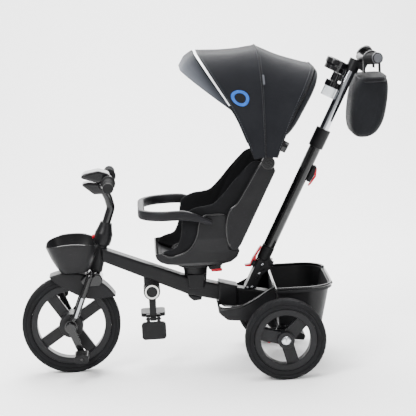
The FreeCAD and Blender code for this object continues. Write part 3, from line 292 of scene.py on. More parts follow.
def cellFinish(name, look):
    # leathercloth, closed-cell foam and reflective tape: cells pressed into the surface
    material, tree, shader, place = blankMaterial(name)
    cells = addNode(tree, "ShaderNodeTexVoronoi", {"Vector": place, "Scale": 1000 / look["cellMm"]},
                    feature=look.get("feature", "F1")).outputs["Distance"]
    shade = spread(tree, clouds(tree, place, 45.0), 0.3, 0.7)
    base = mixColours(tree, shade, linear(look["colour"]), linear(look["shade"]))
    base = mixColours(tree, spread(tree, cells, 0.0, 0.5, look.get("contrast", 0.2), 0.0),
                      base, linear(look["cell"]))
    rough = spread(tree, cells, 0, 0.6, look["rough"] - 0.05, look["rough"] + 0.08)
    bump = addNode(tree, "ShaderNodeBump", {"Height": cells, "Strength": look["bump"],
                                            "Distance": look["cellMm"] * mm * 0.3})
    tree.links.new(base, shader.inputs["Base Color"])
    tree.links.new(rough, shader.inputs["Roughness"])
    tree.links.new(bump.outputs[0], shader.inputs["Normal"])
    shader.inputs["Metallic"].default_value = look.get("metallic", 0.0)
    shader.inputs["Specular IOR Level"].default_value = look.get("shine", 0.14)
    return material


# moulded polypropylene: satin black with a fine spark grain, drawn at 1.4 mm so that it shows
mouldedPolypropylene = hardFinish("mouldedPolypropylene", {
    "colour": "#0e0e10", "bloom": "#141415", "worn": "#2b2b2e", "scuff": 0.35, "rough": 0.40,
    "grainMm": 1.4, "bloomMm": 70, "bump": 0.25, "ior": 1.49})
# polished ABS: deeper black and mirror-like in its highlights
polishedAbs = hardFinish("polishedAbs", {
    "colour": "#09090a", "bloom": "#0d0d0f", "worn": "#242427", "scuff": 0.2, "rough": 0.16,
    "grainMm": 6.0, "bloomMm": 60, "bump": 0.06, "ior": 1.54, "coat": 0.4})
# nylon wheel moulding: a little greyer and duller than the body
mouldedNylon = hardFinish("mouldedNylon", {
    "colour": "#101011", "bloom": "#161618", "worn": "#313134", "scuff": 0.4, "rough": 0.36,
    "grainMm": 1.6, "bloomMm": 50, "bump": 0.25, "ior": 1.53})
# powder-coated steel: hard gloss with a faint orange peel
powderCoatedSteel = hardFinish("powderCoatedSteel", {
    "colour": "#0a0a0b", "bloom": "#0f0f10", "worn": "#333336", "scuff": 0.25, "rough": 0.24,
    "grainMm": 2.6, "bloomMm": 80, "bump": 0.12, "ior": 1.5, "coat": 0.5})
# nickel-chromium plate: bright, with fine drawing lines
chromePlate = hardFinish("chromePlate", {
    "colour": "#c9cbcf", "bloom": "#b9bcc1", "worn": "#8f9296", "scuff": 0.3, "rough": 0.15,
    "grainMm": 1.2, "bloomMm": 40, "bump": 0.06, "metallic": 1.0})
# red acetal: even, slightly waxy
redAcetal = hardFinish("redAcetal", {
    "colour": "#b50f24", "bloom": "#c61a30", "worn": "#e0606c", "scuff": 0.2, "rough": 0.32,
    "grainMm": 1.2, "bloomMm": 20, "bump": 0.1, "ior": 1.48})
# white ABS trim
whiteAbs = hardFinish("whiteAbs", {
    "colour": "#d9d9d6", "bloom": "#cfcfcb", "worn": "#a7a7a2", "scuff": 0.3, "rough": 0.35,
    "grainMm": 1.2, "bloomMm": 20, "bump": 0.1, "ior": 1.54})
# light grey thermoplastic rubber
greyTpe = hardFinish("greyTpe", {
    "colour": "#4c4d51", "bloom": "#434448", "worn": "#77787b", "scuff": 0.3, "rough": 0.5,
    "grainMm": 1.0, "bloomMm": 18, "bump": 0.2, "ior": 1.5})
# clear polycarbonate: water-white with a slight haze
clearPolycarbonate = hardFinish("clearPolycarbonate", {
    "colour": "#eceef0", "bloom": "#e2e5e8", "worn": "#ffffff", "scuff": 0.3, "rough": 0.14,
    "grainMm": 3.0, "bloomMm": 20, "bump": 0.04, "ior": 1.58, "clear": 0.82})
# vulcanised grip rubber
gripRubber = hardFinish("gripRubber", {
    "colour": "#0d0d0e", "bloom": "#131314", "worn": "#272728", "scuff": 0.4, "rough": 0.66,
    "grainMm": 1.1, "bloomMm": 30, "bump": 0.4, "ior": 1.52})
# pale grey ink of a plain printed stripe
printedInk = hardFinish("printedInk", {
    "colour": "#a9abae", "bloom": "#9fa1a4", "worn": "#6a6b6e", "scuff": 0.5, "rough": 0.35,
    "grainMm": 1.0, "bloomMm": 12, "bump": 0.05})
# blue silicone of the plain badge ring
blueSilicone = hardFinish("blueSilicone", {
    "colour": "#1b4c98", "bloom": "#2357a6", "worn": "#4f7fc4", "scuff": 0.2, "rough": 0.4,
    "grainMm": 1.0, "bloomMm": 10, "bump": 0.1})
# closed-cell EVA foam tyre: matt, with fine pores drawn at 2.2 mm
evaFoam = cellFinish("evaFoam", {
    "colour": "#0f0f10", "shade": "#141416", "cell": "#070708", "cellMm": 2.2, "rough": 0.74,
    "bump": 0.3, "contrast": 0.4})
# PVC leathercloth wrapped round the bumper: pebbled, with a low shine
leathercloth = cellFinish("leathercloth", {
    "colour": "#101012", "shade": "#161619", "cell": "#09090a", "cellMm": 2.6, "rough": 0.42,
    "bump": 0.35, "contrast": 0.3})
# glass-bead reflective tape: pale silver cells
reflectiveTape = cellFinish("reflectiveTape", {
    "colour": "#e6e8eb", "shade": "#dcdee2", "cell": "#f6f7f8", "cellMm": 2.4, "rough": 0.34,
    "bump": 0.2, "contrast": 0.5, "metallic": 0.35})
# oxford polyester of the canopy, threads drawn at 2 mm so that they show
oxfordPolyester = clothFinish("oxfordPolyester", {
    "colour": "#101114", "shade": "#151619", "thread": "#1e1f23", "threadMm": 2.0,
    "creaseMm": 42, "rough": 0.72, "bump": 0.5, "sheen": 0.06})
# the visor's cloth: the same weave, paler towards its edge
visorPolyester = clothFinish("visorPolyester", {
    "colour": "#141519", "shade": "#1a1b20", "thread": "#24262b", "threadMm": 2.0,
    "creaseMm": 42, "rough": 0.7, "bump": 0.45, "sheen": 0.06, "fade": "#7e828a"})
# brushed seat liner: close and dark
brushedPolyester = clothFinish("brushedPolyester", {
    "colour": "#0b0b0c", "shade": "#101012", "thread": "#17181a", "threadMm": 2.6,
    "creaseMm": 34, "rough": 0.82, "bump": 0.6, "sheen": 0.06})
# twill polyester of the bag
twillPolyester = clothFinish("twillPolyester", {
    "colour": "#0d0e10", "shade": "#131416", "thread": "#1d1e22", "threadMm": 2.2,
    "creaseMm": 38, "rough": 0.7, "bump": 0.55, "twill": True, "sheen": 0.05})
# grey polypropylene webbing, ribbed across
greyWebbing = clothFinish("greyWebbing", {
    "colour": "#4a4c51", "shade": "#333439", "thread": "#74777d", "threadMm": 2.4,
    "creaseMm": 30, "rough": 0.65, "bump": 0.7, "twill": True, "sheen": 0.2})
# grosgrain edging and sewing thread
blackGrosgrain = clothFinish("blackGrosgrain", {
    "colour": "#0a0a0b", "shade": "#0f0f11", "thread": "#1c1d21", "threadMm": 1.6,
    "creaseMm": 20, "rough": 0.7, "bump": 0.7, "sheen": 0.2})
greyThread = clothFinish("greyThread", {
    "colour": "#34363b", "shade": "#3c3e43", "thread": "#4c4e54", "threadMm": 0.8,
    "creaseMm": 10, "rough": 0.6, "bump": 0.5, "sheen": 0.2})

finishOf = {
    "satin_black_plastic": mouldedPolypropylene, "gloss_black_plastic": polishedAbs,
    "rim_plastic": mouldedNylon, "tyre_foam": evaFoam, "black_painted_steel": powderCoatedSteel,
    "plated_steel": chromePlate, "grip_rubber": gripRubber, "red_plastic": redAcetal,
    "white_plastic": whiteAbs, "clear_plastic": clearPolycarbonate, "bumper_wrap": leathercloth,
    "charcoal_fabric": oxfordPolyester, "grey_webbing": greyWebbing}
ownFinish = {"bar_cover": polishedAbs, "fork_crown": polishedAbs, "canopy_hubs": polishedAbs}
print("materials made")


def dressFrame():
    for node, thing in frame["nodes"].items():
        finish = ownFinish.get(node, finishOf[slotOf[node]])
        thing.data.materials.clear()
        thing.data.materials.append(finish)


# the CAD shapes again, with their edges eased as a mould leaves them
mouldings = {  # voxel in mm, rounds of smoothing
    "seat_shell": (1.7, 6), "back_shell": (1.7, 6), "bar_cover": (0.9, 8), "boom_socket": (1.1, 5),
    "rear_carrier": (1.4, 5), "handle_bracket": (0.9, 4), "handle_yoke": (0.9, 4),
    "seat_pillar": (1.1, 5), "swivel_base": (1.0, 5), "fold_lever": (0.5, 4),
    "height_lever": (0.5, 4), "swivel_lever": (0.5, 3), "brake_rocker": (1.1, 5),
    "footrest_hanger": (0.9, 4), "footrest_arm": (0.8, 4), "foot_pad_left": (0.7, 4),
    "foot_pad_right": (0.7, 4), "fork_crown": (0.9, 5), "front_fender": (1.0, 5),
    "main_boom": (1.5, 4), "handle_collar": (0.8, 4), "front_rim": (1.2, 4),
    "rear_rim_left": (1.1, 4), "rear_rim_right": (1.1, 4), "cup_holder": (0.8, 5),
    "crank_set": (0.9, 4), "steering_collar": (0.7, 4), "column_button": (0.4, 3),
    "front_basket": (1.1, 4), "pedal_left": (0.8, 4), "pedal_right": (0.8, 4)}


def easedMoulding(node, voxelMm, rounds):
    source = frame["nodes"][node]
    piece = bpy.data.objects.new(node + "Moulding", source.data.copy())
    bpy.context.scene.collection.objects.link(piece)
    work = bmesh.new()
    work.from_mesh(piece.data)
    bmesh.ops.remove_doubles(work, verts=work.verts, dist=1e-6)
    work.to_mesh(piece.data)
    work.free()
    addModifier(piece, "REMESH", mode="VOXEL", voxel_size=voxelMm * mm, use_smooth_shade=True)
    addModifier(piece, "SMOOTH", factor=0.5, iterations=rounds)
    bakeModifiers(piece)
    piece.data.materials.clear()
    piece.data.materials.append(ownFinish.get(node, finishOf[slotOf[node]]))
    piece.data.shade_smooth()
    return settle(piece, bodyOf[node], slotOf[node], [node])


tyreShape = {"shoulderMm": 9.0, "grooveMm": 1.3, "blocks": 44, "turns": 352}


def makeTyre(node, centre):
    low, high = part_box(node)
    radius = (high.z - low.z) / 2
    half = (high.y - low.y) / 2
    seat = radius - (24.0 if radius > 0.11 else 23.5) * mm
    shoulder = tyreShape["shoulderMm"] * mm
    groove = tyreShape["grooveMm"] * mm
    section = []
    for i in range(17):  # crown and shoulders
        y = -half + 2 * half * i / 16
        edge = max(0.0, abs(y) - (half - shoulder)) / shoulder
        section.append((y, radius - shoulder * 0.8 * (1 - math.sqrt(max(0.0, 1 - edge * edge)))))
    section = [(y, r - 0.3 * mm) for y, r in section]
    wall = [(half - inward * mm, radius - shoulder - down * mm)
            for inward, down in ((0.2, 1.5), (1.6, 2.5), (1.6, 3.6), (0.2, 4.6))]
    wall += [(half - 0.6 * mm, seat + 7 * mm),
             (half - 2.2 * mm, seat + 3 * mm), (half - 5 * mm, seat + 0.2 * mm)]
    section = [(-y, r) for y, r in reversed(wall)] + section + wall
    rings = []
    for k in range(tyreShape["turns"]):
        a = 2 * math.pi * k / tyreShape["turns"]
        ring = []
        for y, r in section:
            share = abs(y) / half
            block = (k * tyreShape["blocks"] / tyreShape["turns"] + 1.5 * share) % 1.0
            cut = groove if 0.28 < share < 0.9 and block < 0.3 else 0.0
            cut = groove if 0.17 < share < 0.28 else cut
            cut = cut if r > radius - shoulder * 0.9 else 0.0
            r -= cut
            ring.append(centre + Vector((math.sin(a) * r, y, math.cos(a) * r)))
        rings.append(ring)
    count = len(section)
    points = [p for ring in rings for p in ring]
    faces = gridFaces(len(rings), count, loopRows=True)
    faces += [(i * count, ((i + 1) % len(rings)) * count, ((i + 1) % len(rings)) * count + count - 1,
               i * count + count - 1) for i in range(len(rings))]
    piece = addPiece(node + "Foam", points, faces, evaFoam)
    return settle(piece, bodyOf[node], slotOf[node], [node])


canopy = {"halfWideMm": 163.0, "cornerMm": 95.0, "baseMm": 26.0, "clothMm": 1.4, "sagMm": 5.0,
          "frontBow": (-31.6, 320.0), "middleBow": (-1.9, 277.0), "rearBow": (30.6, 259.0),
          "tapeMm": 13.0, "across": 96, "visorRootMm": 155.0,
          "curtainDeepMm": 20.0}
hub = pivot("canopy_fold")


def archPoint(t, height, halfWide, corner):
    base = canopy["baseMm"]
    side = height - corner - base
    turn = corner * math.pi / 2
    top = 2 * (halfWide - corner)
    total = 2 * side + 2 * turn + top
    s = t * total
    if s < side:
        return base + s, -halfWide, 0.0
    s -= side
    if s < turn:
        a = s / corner
        return height - corner + corner * math.sin(a), -halfWide + corner * (1 - math.cos(a)), a
    s -= turn
    if s < top:
        return height, -halfWide + corner + s, math.pi / 2
    s -= top
    if s < turn:
        a = s / corner
        return height - corner + corner * math.cos(a), halfWide - corner + corner * math.sin(a), \
            math.pi / 2 + a
    s -= turn
    return height - corner - s, halfWide, math.pi


def onArch(bow, t, halfWide, out=0.0, corner=None):
    height, y, facing = archPoint(t, bow[1], halfWide, corner or canopy["cornerMm"])
    height += out * math.sin(facing)
    y -= out * math.cos(facing)
    a = math.radians(bow[0])
    return hub + Vector((math.sin(a) * height, y, math.cos(a) * height)) * mm


def archFacing(bow, t, halfWide):
    facing = archPoint(t, bow[1], halfWide, canopy["cornerMm"])[2]
    a = math.radians(bow[0])
    return Vector((math.sin(a) * math.sin(facing), -math.cos(facing), math.cos(a) * math.sin(facing)))


def coverPoint(u, t, out=0.0):
    front, middle, rear = canopy["frontBow"], canopy["middleBow"], canopy["rearBow"]
    wide = canopy["halfWideMm"]
    first, second, k = (front, middle, u * 2) if u < 0.5 else (middle, rear, u * 2 - 1)
    rearWide = wide - 4 * max(0.0, u * 2 - 1)
    a = onArch(first, t, wide)
    b = onArch(second, t, rearWide)
    facing = archFacing(first, t, wide).lerp(archFacing(second, t, wide), k).normalized()
    point = a.lerp(b, k)
    rim = math.sin(math.pi * min(1.0, t * 6)) if t * 6 < 0.5 else 1.0
    rim = min(rim, math.sin(math.pi * (1 - t) * 6) if (1 - t) * 6 < 0.5 else 1.0)
    sag = canopy["sagMm"] * math.sin(math.pi * k) ** 0.8 * max(0.0, rim)
    ripple = noise.noise(point * 22) * 1.6 * math.sin(math.pi * k)
    point -= facing * (sag + ripple - out) * mm
    high = archPoint(t, first[1] + (second[1] - first[1]) * k, wide, canopy["cornerMm"])[0]
    foot = max(0.0, 1 - (high - canopy["baseMm"]) / 150) ** 1.5  # the cloth spreads over its hub
    return point + Vector(((-20 + 30 * u) * foot, 0, -11 * foot)) * mm


def sheetPiece(name, rows, finish, thick):
    columns = len(rows[0])
    points = [p for row in rows for p in row]
    piece = addPiece(name, points, gridFaces(len(rows), columns), finish, outward=False)
    if piece.data.polygons[len(piece.data.polygons) // 2].normal.dot(
            piece.data.polygons[len(piece.data.polygons) // 2].center - hub) < 0:
        piece.data.flip_normals()
    if thick:
        addModifier(piece, "SOLIDIFY", thickness=thick * mm, offset=-1.0)
        bakeModifiers(piece)
    return piece


def makeCanopy():
    count = canopy["across"]
    rows = []
    for i in range(49):
        rows.append([coverPoint(i / 48, j / count) for j in range(count + 1)])
    cover = sheetPiece("canopyCover", rows, oxfordPolyester, canopy["clothMm"])
    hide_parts("front_cover", "rear_cover")
    frontTop = onArch(canopy["frontBow"], 0.5, canopy["halfWideMm"])
    rearTop = onArch(canopy["rearBow"], 0.5, canopy["halfWideMm"])
    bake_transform(cover)
    tapeTurn = canopy["tapeMm"] / canopy["frontBow"][1] / 2
    rows = [[coverPoint(i / 4 * tapeTurn, j / count, 0.7) for j in range(17, count - 16)]
            for i in range(5)]
    tape = sheetPiece("reflectiveEdge", rows, reflectiveTape, 0.4)
    settle(tape, "canopy_front", "charcoal_fabric")
    return cover


def makeVisor():
    front = canopy["frontBow"]
    root = hub + Vector((math.sin(math.radians(front[0])), 0, math.cos(math.radians(front[0])))) \
        * canopy["visorRootMm"] * mm
    reach = front[1] - canopy["visorRootMm"]
    wide = canopy["halfWideMm"] - 1
    corner = canopy["cornerMm"]
    count = canopy["across"]
    rows = []
    for i in range(17):
        k = i / 16
        angle = front[0] - 0.8 - 18.2 * k
        push = 2.0 * math.sin(math.pi * min(1.0, k / 0.5) / 2) - 6.0 * max(0.0, k - 0.5) * 2
        a = math.radians(angle)
        up = Vector((math.sin(a), 0, math.cos(a)))
        row = []
        for j in range(count + 1):
            height, y = archPoint(j / count, reach + push, wide, corner)[:2]
            height = 6 + (height - canopy["baseMm"]) * (reach + push - 6) \
                / (reach + push - canopy["baseMm"])
            height -= 1.5 * k * abs(noise.noise(Vector((j * 0.13, k * 2, 3))))
            row.append(root + up * height * mm + Vector((0, y * mm, 0)))
        rows.append(row)
    piece = sheetPiece("visorCloth", rows, visorPolyester, 1.3)
    fade = piece.data.attributes.new("fade", "FLOAT", "POINT")
    for index, vertex in enumerate(piece.data.vertices):
        rel = vertex.co - hub
        lean = math.degrees(math.atan2(rel.x, rel.z))
        fade.data[index].value = max(0.0, min(1.0, (front[0] - lean) / 16)) ** 1.3
    return settle(piece, "canopy_front", "charcoal_fabric", ["visor"])


def curtainLoop(k, count=96):
    rear = canopy["rearBow"]
    a = math.radians(rear[0])
    up = Vector((math.sin(a), 0, math.cos(a)))
    back = Vector((math.cos(a), 0, -math.sin(a)))
    deep = 4.8 + canopy["curtainDeepMm"] * math.sin(k * math.pi / 2) ** 0.8
    halfWide = 154.5 * (1 - k ** 2.6)
    low = 62 + (165 - 62) * k ** 2.2
    high = 256.5 - (256.5 - 165) * k ** 2.0
    loop = []
    for j in range(count):
        c, s = squareRound(2 * math.pi * j / count, 0.6)
        h = (low + high) / 2 + (high - low) / 2 * s
        pleat = 1.2 * noise.noise(Vector((c * 3, s * 3, k * 4))) * k
        loop.append(hub + (up * h + back * (deep + pleat)) * mm + Vector((0, halfWide * c * mm, 0)))
    return loop


def makeCurtain():
    rings = [curtainLoop(i / 20) for i in range(20)]
    points = [p for ring in rings for p in ring]
    points.append(sum(rings[-1], Vector()) / len(rings[-1]))
    faces = gridFaces(20, 96, loopColumns=True)
    faces += [(19 * 96 + j, 19 * 96 + (j + 1) % 96, len(points) - 1) for j in range(96)]
    piece = addPiece("rearCurtain", points, faces, oxfordPolyester)
    addModifier(piece, "SOLIDIFY", thickness=1.2 * mm, offset=-1.0)
    bakeModifiers(piece)
    return settle(piece, "back", "charcoal_fabric", ["curtain"])


# stitches, ribs and screws repeat along a line
def buildRepeatTree():
    tree = bpy.data.node_groups.new("repeatAlongPath", "GeometryNodeTree")
    for name, kind in (("Path", "NodeSocketGeometry"), ("Unit", "NodeSocketObject"),
                       ("Spacing", "NodeSocketFloat"), ("Finish", "NodeSocketMaterial")):
        tree.interface.new_socket(name, in_out="INPUT", socket_type=kind)
    tree.interface.new_socket("Repeats", in_out="OUTPUT", socket_type="NodeSocketGeometry")
    given = addNode(tree, "NodeGroupInput").outputs
    curve = addNode(tree, "GeometryNodeMeshToCurve", {"Mesh": given["Path"]})
    even = addNode(tree, "GeometryNodeResampleCurve", {"Curve": curve.outputs[0],
                                                       "Length": given["Spacing"]}, mode="LENGTH")
    facing = addNode(tree, "GeometryNodeInputNamedAttribute", {"Name": "facing"},
                     data_type="FLOAT_VECTOR")
    tangent = addNode(tree, "GeometryNodeInputTangent")
    first = addNode(tree, "FunctionNodeAlignRotationToVector", {"Vector": facing.outputs[0]}, axis="Z")
    second = addNode(tree, "FunctionNodeAlignRotationToVector",
                     {"Rotation": first.outputs[0], "Vector": tangent.outputs[0]},
                     axis="X", pivot_axis="Z")
    unit = addNode(tree, "GeometryNodeObjectInfo", {"Object": given["Unit"]})
    placed = addNode(tree, "GeometryNodeInstanceOnPoints",
                     {"Points": even.outputs[0], "Instance": unit.outputs["Geometry"],
                      "Rotation": second.outputs[0]})
    real = addNode(tree, "GeometryNodeRealizeInstances", {"Geometry": placed.outputs[0]})
    done = addNode(tree, "GeometryNodeSetMaterial", {"Geometry": real.outputs[0],
                                                     "Material": given["Finish"]})
    addNode(tree, "NodeGroupOutput", {"Repeats": done.outputs[0]})
    return tree


repeatTree = buildRepeatTree()


def repeatAlong(name, paths, unit, spacing, finish, body):
    mesh = bpy.data.meshes.new(name)
    points, edges, facings = [], [], []
    for path in paths:
        start = len(points)
        points += [tuple(p) for p, facing in path]
        facings += [value for p, facing in path for value in facing]
        edges += [(start + i, start + i + 1) for i in range(len(path) - 1)]
    mesh.from_pydata(points, edges, [])
    mesh.attributes.new("facing", "FLOAT_VECTOR", "POINT").data.foreach_set("vector", facings)
    piece = bpy.data.objects.new(name, mesh)
    bpy.context.scene.collection.objects.link(piece)
    modifier = piece.modifiers.new("repeat", "NODES")
    modifier.node_group = repeatTree
    sockets = {item.name: item.identifier for item in repeatTree.interface.items_tree
               if item.in_out == "INPUT"}
    modifier[sockets["Unit"]] = unit
    modifier[sockets["Spacing"]] = spacing
    modifier[sockets["Finish"]] = finish
    bakeModifiers(piece)
    piece.data.materials.clear()
    piece.data.materials.append(finish)
    piece.data.shade_smooth()
    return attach(piece, body)


def unitShape(name, points, faces):
    mesh = bpy.data.meshes.new(name)
    mesh.from_pydata([tuple(p) for p in points], [], faces)
    unit = bpy.data.objects.new(name, mesh)
    return unit


def stitchUnit(longMm=4.2, thickMm=0.7):
    rings = []
    for k in (0.0, 0.25, 0.75, 1.0):
        r = thickMm * mm * (0.35 if k in (0.0, 1.0) else 0.6)
        x = (k - 0.5) * longMm * mm
        z = (0.1 if k in (0.0, 1.0) else 0.5) * thickMm * mm
        turns = [2 * math.pi * j / 6 for j in range(6)]
        rings.append([Vector((x, r * math.cos(a), z + r * math.sin(a))) for a in turns])
    points = [p for ring in rings for p in ring]
    faces = gridFaces(4, 6, loopColumns=True) + [tuple(range(6)), tuple(range(23, 17, -1))]
    return unitShape("stitch", points, faces)


def ribUnit(radius, thick):
    points, count = [], 32
    for i in range(count):
        a = 2 * math.pi * i / count
        for j in range(6):
            b = 2 * math.pi * j / 6
            r = radius + thick * math.cos(b)
            points.append((math.cos(a) * r, math.sin(a) * r, thick * 0.8 * math.sin(b)))
    return unitShape("rib", points, gridFaces(count, 6, loopRows=True, loopColumns=True))


def screwUnit(radius):
    profile = [(0.0, 0.45), (0.36, 0.45), (0.40, 0.78), (0.62, 0.72), (0.86, 0.5), (1.0, 0.2),
               (1.0, 0.0)]
    count = 18
    points = [(0, 0, profile[0][1] * radius)]
    for r, z in profile[1:]:
        for i in range(count):
            a, notch = 2 * math.pi * i / count, 0.92 if r < 0.45 and i % 3 else 1.0
            points.append((math.cos(a) * r * radius * notch, math.sin(a) * r * radius * notch,
                           z * radius))
    faces = [(0, 1 + i, 1 + (i + 1) % count) for i in range(count)]
    for k in range(len(profile) - 2):
        a = 1 + k * count
        faces += [(a + i, a + count + i, a + count + (i + 1) % count, a + (i + 1) % count)
                  for i in range(count)]
    return unitShape("screwHead", points, faces)


def archPath(u, out, start=0.03, end=0.97):
    wide = canopy["halfWideMm"]
    bows = (canopy["frontBow"], canopy["middleBow"], canopy["rearBow"])
    path = []
    for j in range(73):
        t = start + (end - start) * j / 72
        bow = bows[0] if u < 0.25 else bows[1] if u < 0.75 else bows[2]
        path.append((coverPoint(u, t, out), archFacing(bow, t, wide)))
    return path


seatLook = {"leanDeg": 27.6, "hingeMm": 14.0, "padLowMm": 34.0, "padHighMm": 208.0,
            "padFrontMm": 26.0, "padBackMm": 6.0, "padHalfMm": 118.0}
recline = pivot("back_recline")
drawingShift = recline.x - 424 * mm  # from an x in the drawing to one in this frame


def backPoint(along, out, y):
    a = math.radians(seatLook["leanDeg"])
    x = seatLook["hingeMm"] * math.cos(a) + along * math.sin(a) - out * math.cos(a)
    z = -seatLook["hingeMm"] * math.sin(a) + along * math.cos(a) + out * math.sin(a)
    return recline + Vector((x, y, z)) * mm


def puffPad(piece, capMm, voxelMm=5.0, pressure=4.0):
    addModifier(piece, "REMESH", mode="VOXEL", voxel_size=voxelMm * mm, use_smooth_shade=True)
    bakeModifiers(piece)
    before = [v.co.copy() for v in piece.data.vertices]
    cloth = piece.modifiers.new("stuffing", "CLOTH")
    cloth.settings.use_pressure = True
    cloth.settings.uniform_pressure_force = pressure
    cloth.settings.effector_weights.gravity = 0
    cloth.settings.quality = 5
    scene = bpy.context.scene
    for step in range(1, 21):
        scene.frame_set(step)
    bakeModifiers(piece)
    scene.frame_set(1)
    for vertex, start in zip(piece.data.vertices, before):
        move = vertex.co - start
        if move.length > capMm * mm:
            vertex.co = start + move.normalized() * capMm * mm
    addModifier(piece, "SMOOTH", factor=0.5, iterations=3)
    addModifier(piece, "SUBSURF", levels=1, render_levels=1)
    bakeModifiers(piece)
    piece.data.shade_smooth()
    return piece


def padBlock(name, along, out, halfWide, place, finish, power=0.35, inset=2.5):
    rings = []
    for i in range(13):
        k = -1 + 2 * i / 12
        shrink = (1 - abs(k) ** 5) ** 0.2 if abs(k) < 1 else 0.45
        ring = []
        for j in range(40):
            c, s = squareRound(2 * math.pi * j / 40, power)
            a = (along[0] + along[1]) / 2 + (along[1] - along[0] - 2 * inset) / 2 * c
            b = (out[0] + out[1]) / 2 + (out[1] - out[0] - 2 * inset) / 2 * s * shrink
            ring.append(place(a, b, k * (halfWide - inset)))
        rings.append(ring)
    return loftPiece(name, rings, finish)


def pressSeams(piece, seams, place, deepMm, wideMm):
    for vertex in piece.data.vertices:
        along, out, y = place(vertex.co)
        depth = 0.0
        for kind, at, low, high in seams:
            across = along if kind == "across" else y
            run = y if kind == "across" else along
            if low <= run <= high:
                depth = max(depth, math.exp(-((across - at) / wideMm) ** 2))
        yield vertex, out, depth * deepMm


def backFrame(point):
    a = math.radians(seatLook["leanDeg"])
    d = (point - recline) / mm
    x, z = d.x - seatLook["hingeMm"] * math.cos(a), d.z + seatLook["hingeMm"] * math.sin(a)
    return x * math.sin(a) + z * math.cos(a), -x * math.cos(a) + z * math.sin(a), d.y


def makeBackPad():
    low, high = seatLook["padLowMm"], seatLook["padHighMm"]
    pad = padBlock("backPadding", (low, high), (seatLook["padBackMm"], seatLook["padFrontMm"]),
                   seatLook["padHalfMm"], backPoint, brushedPolyester)
    puffPad(pad, 6)
    seams = [("along", -62, low, high), ("along", 62, low, high), ("across", 92, -62, 62),
             ("across", 150, -62, 62)]
    a = math.radians(seatLook["leanDeg"])
    outward = Vector((-math.cos(a), 0, math.sin(a)))
    for vertex, out, depth in pressSeams(pad, seams, backFrame, 5.0, 4.0):
        if out > 17:
            vertex.co -= outward * depth * mm
        vertex.co -= outward * 2.0 * mm if out > seatLook["padFrontMm"] - 1 else Vector()
    settle(pad, "back", "charcoal_fabric", ["back_pad"])
    lines = []
    for y in (-67, -57, 57, 67):
        lines.append([(backPoint(low + 12 + (high - low - 24) * i / 20, 24.6, y), outward)
                      for i in range(21)])
    repeatAlong("backPadStitches", lines, stitchUnit(), 6.2 * mm, greyThread, "back")


def makeSeatPad():
    low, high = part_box("seat_cushion")
    middle = (low + high) / 2

    def place(along, out, y):
        x = low.x + along * mm
        dish = 0.02 * (x - middle.x)
        return Vector((x, y * mm, low.z + out * mm + dish))
    length = (high.x - low.x) / mm
    pad = padBlock("seatPadding", (2, length - 2), (1, (high.z - low.z) / mm - 1), 84, place,
                   brushedPolyester, 0.4)
    puffPad(pad, 5)
    for vertex in pad.data.vertices:
        y = vertex.co.y / mm
        seam = math.exp(-((abs(y) - 34) / 4) ** 2)
        seam += math.exp(-(((vertex.co.x - middle.x) / mm) / 4) ** 2)
        if vertex.co.z > middle.z + 4 * mm:
            vertex.co.z -= min(1.0, seam) * 4.0 * mm
        vertex.co.z = max(low.z + 0.4 * mm, min(high.z + 2 * mm, vertex.co.z))
    return settle(pad, "seat", "charcoal_fabric", ["seat_cushion"])


def ribbon(name, path, sides, width, thick, finish):
    rings = []
    for i, point in enumerate(path):
        ahead = (path[min(i + 1, len(path) - 1)] - path[max(i - 1, 0)]).normalized()
        across = sides[i] if isinstance(sides, list) else sides
        across = (across - ahead * across.dot(ahead)).normalized()
        up = ahead.cross(across)
        rings.append(ovalRing(16, 0.35, lambda c, s: point + across * c * width / 2
                              + up * s * thick / 2))
    return loftPiece(name, rings, finish)


def makeHarness():
    across = Vector((0, 1, 0))
    for side, name in bothSides:
        shoulder = []
        for i in range(25):
            k = i / 24
            along = 178 - 118 * k
            out = 29.2 + 4.0 * math.sin(math.pi * k) + 6.0 * k ** 3
            shoulder.append(backPoint(along, out, side * (42 - 24 * k ** 2)))
        strap = ribbon("shoulderStrap" + name, shoulder, across,
                       24 * mm, 2.0 * mm, greyWebbing)
        settle(strap, "back", "grey_webbing", ["harness"] if side < 0 else [])
        pad = []
        for i in range(13):
            k = i / 12
            pad.append(backPoint(170 - 62 * k, 31.5 + 3.0 * math.sin(math.pi * (0.1 + 0.5 * k)),
                                 side * (42 - 24 * (k * 0.52) ** 2)))
        cover = ribbon("shoulderPad" + name, pad, across,
                       33 * mm, 6.5 * mm, greyWebbing)
        addModifier(cover, "SUBSURF", levels=1, render_levels=1)
        bakeModifiers(cover)
        settle(cover, "back", "grey_webbing")
    rings = []
    for k, grow in ((0, 0.72), (1.5, 0.94), (4, 1.0), (9, 1.0), (11.5, 0.93), (13, 0.7)):
        rings.append(ovalRing(40, 0.6, lambda c, s: backPoint(46 + 12 * s * grow, 31 + k,
                                                              21 * c * grow)))
    buckle = loftPiece("harnessBuckle", rings, polishedAbs)
    settle(buckle, "back", "satin_black_plastic")


bumperLook = {"halfMm": 141.5, "thickMm": 17.6, "turnMm": 69.0, "frontMm": 9.0}


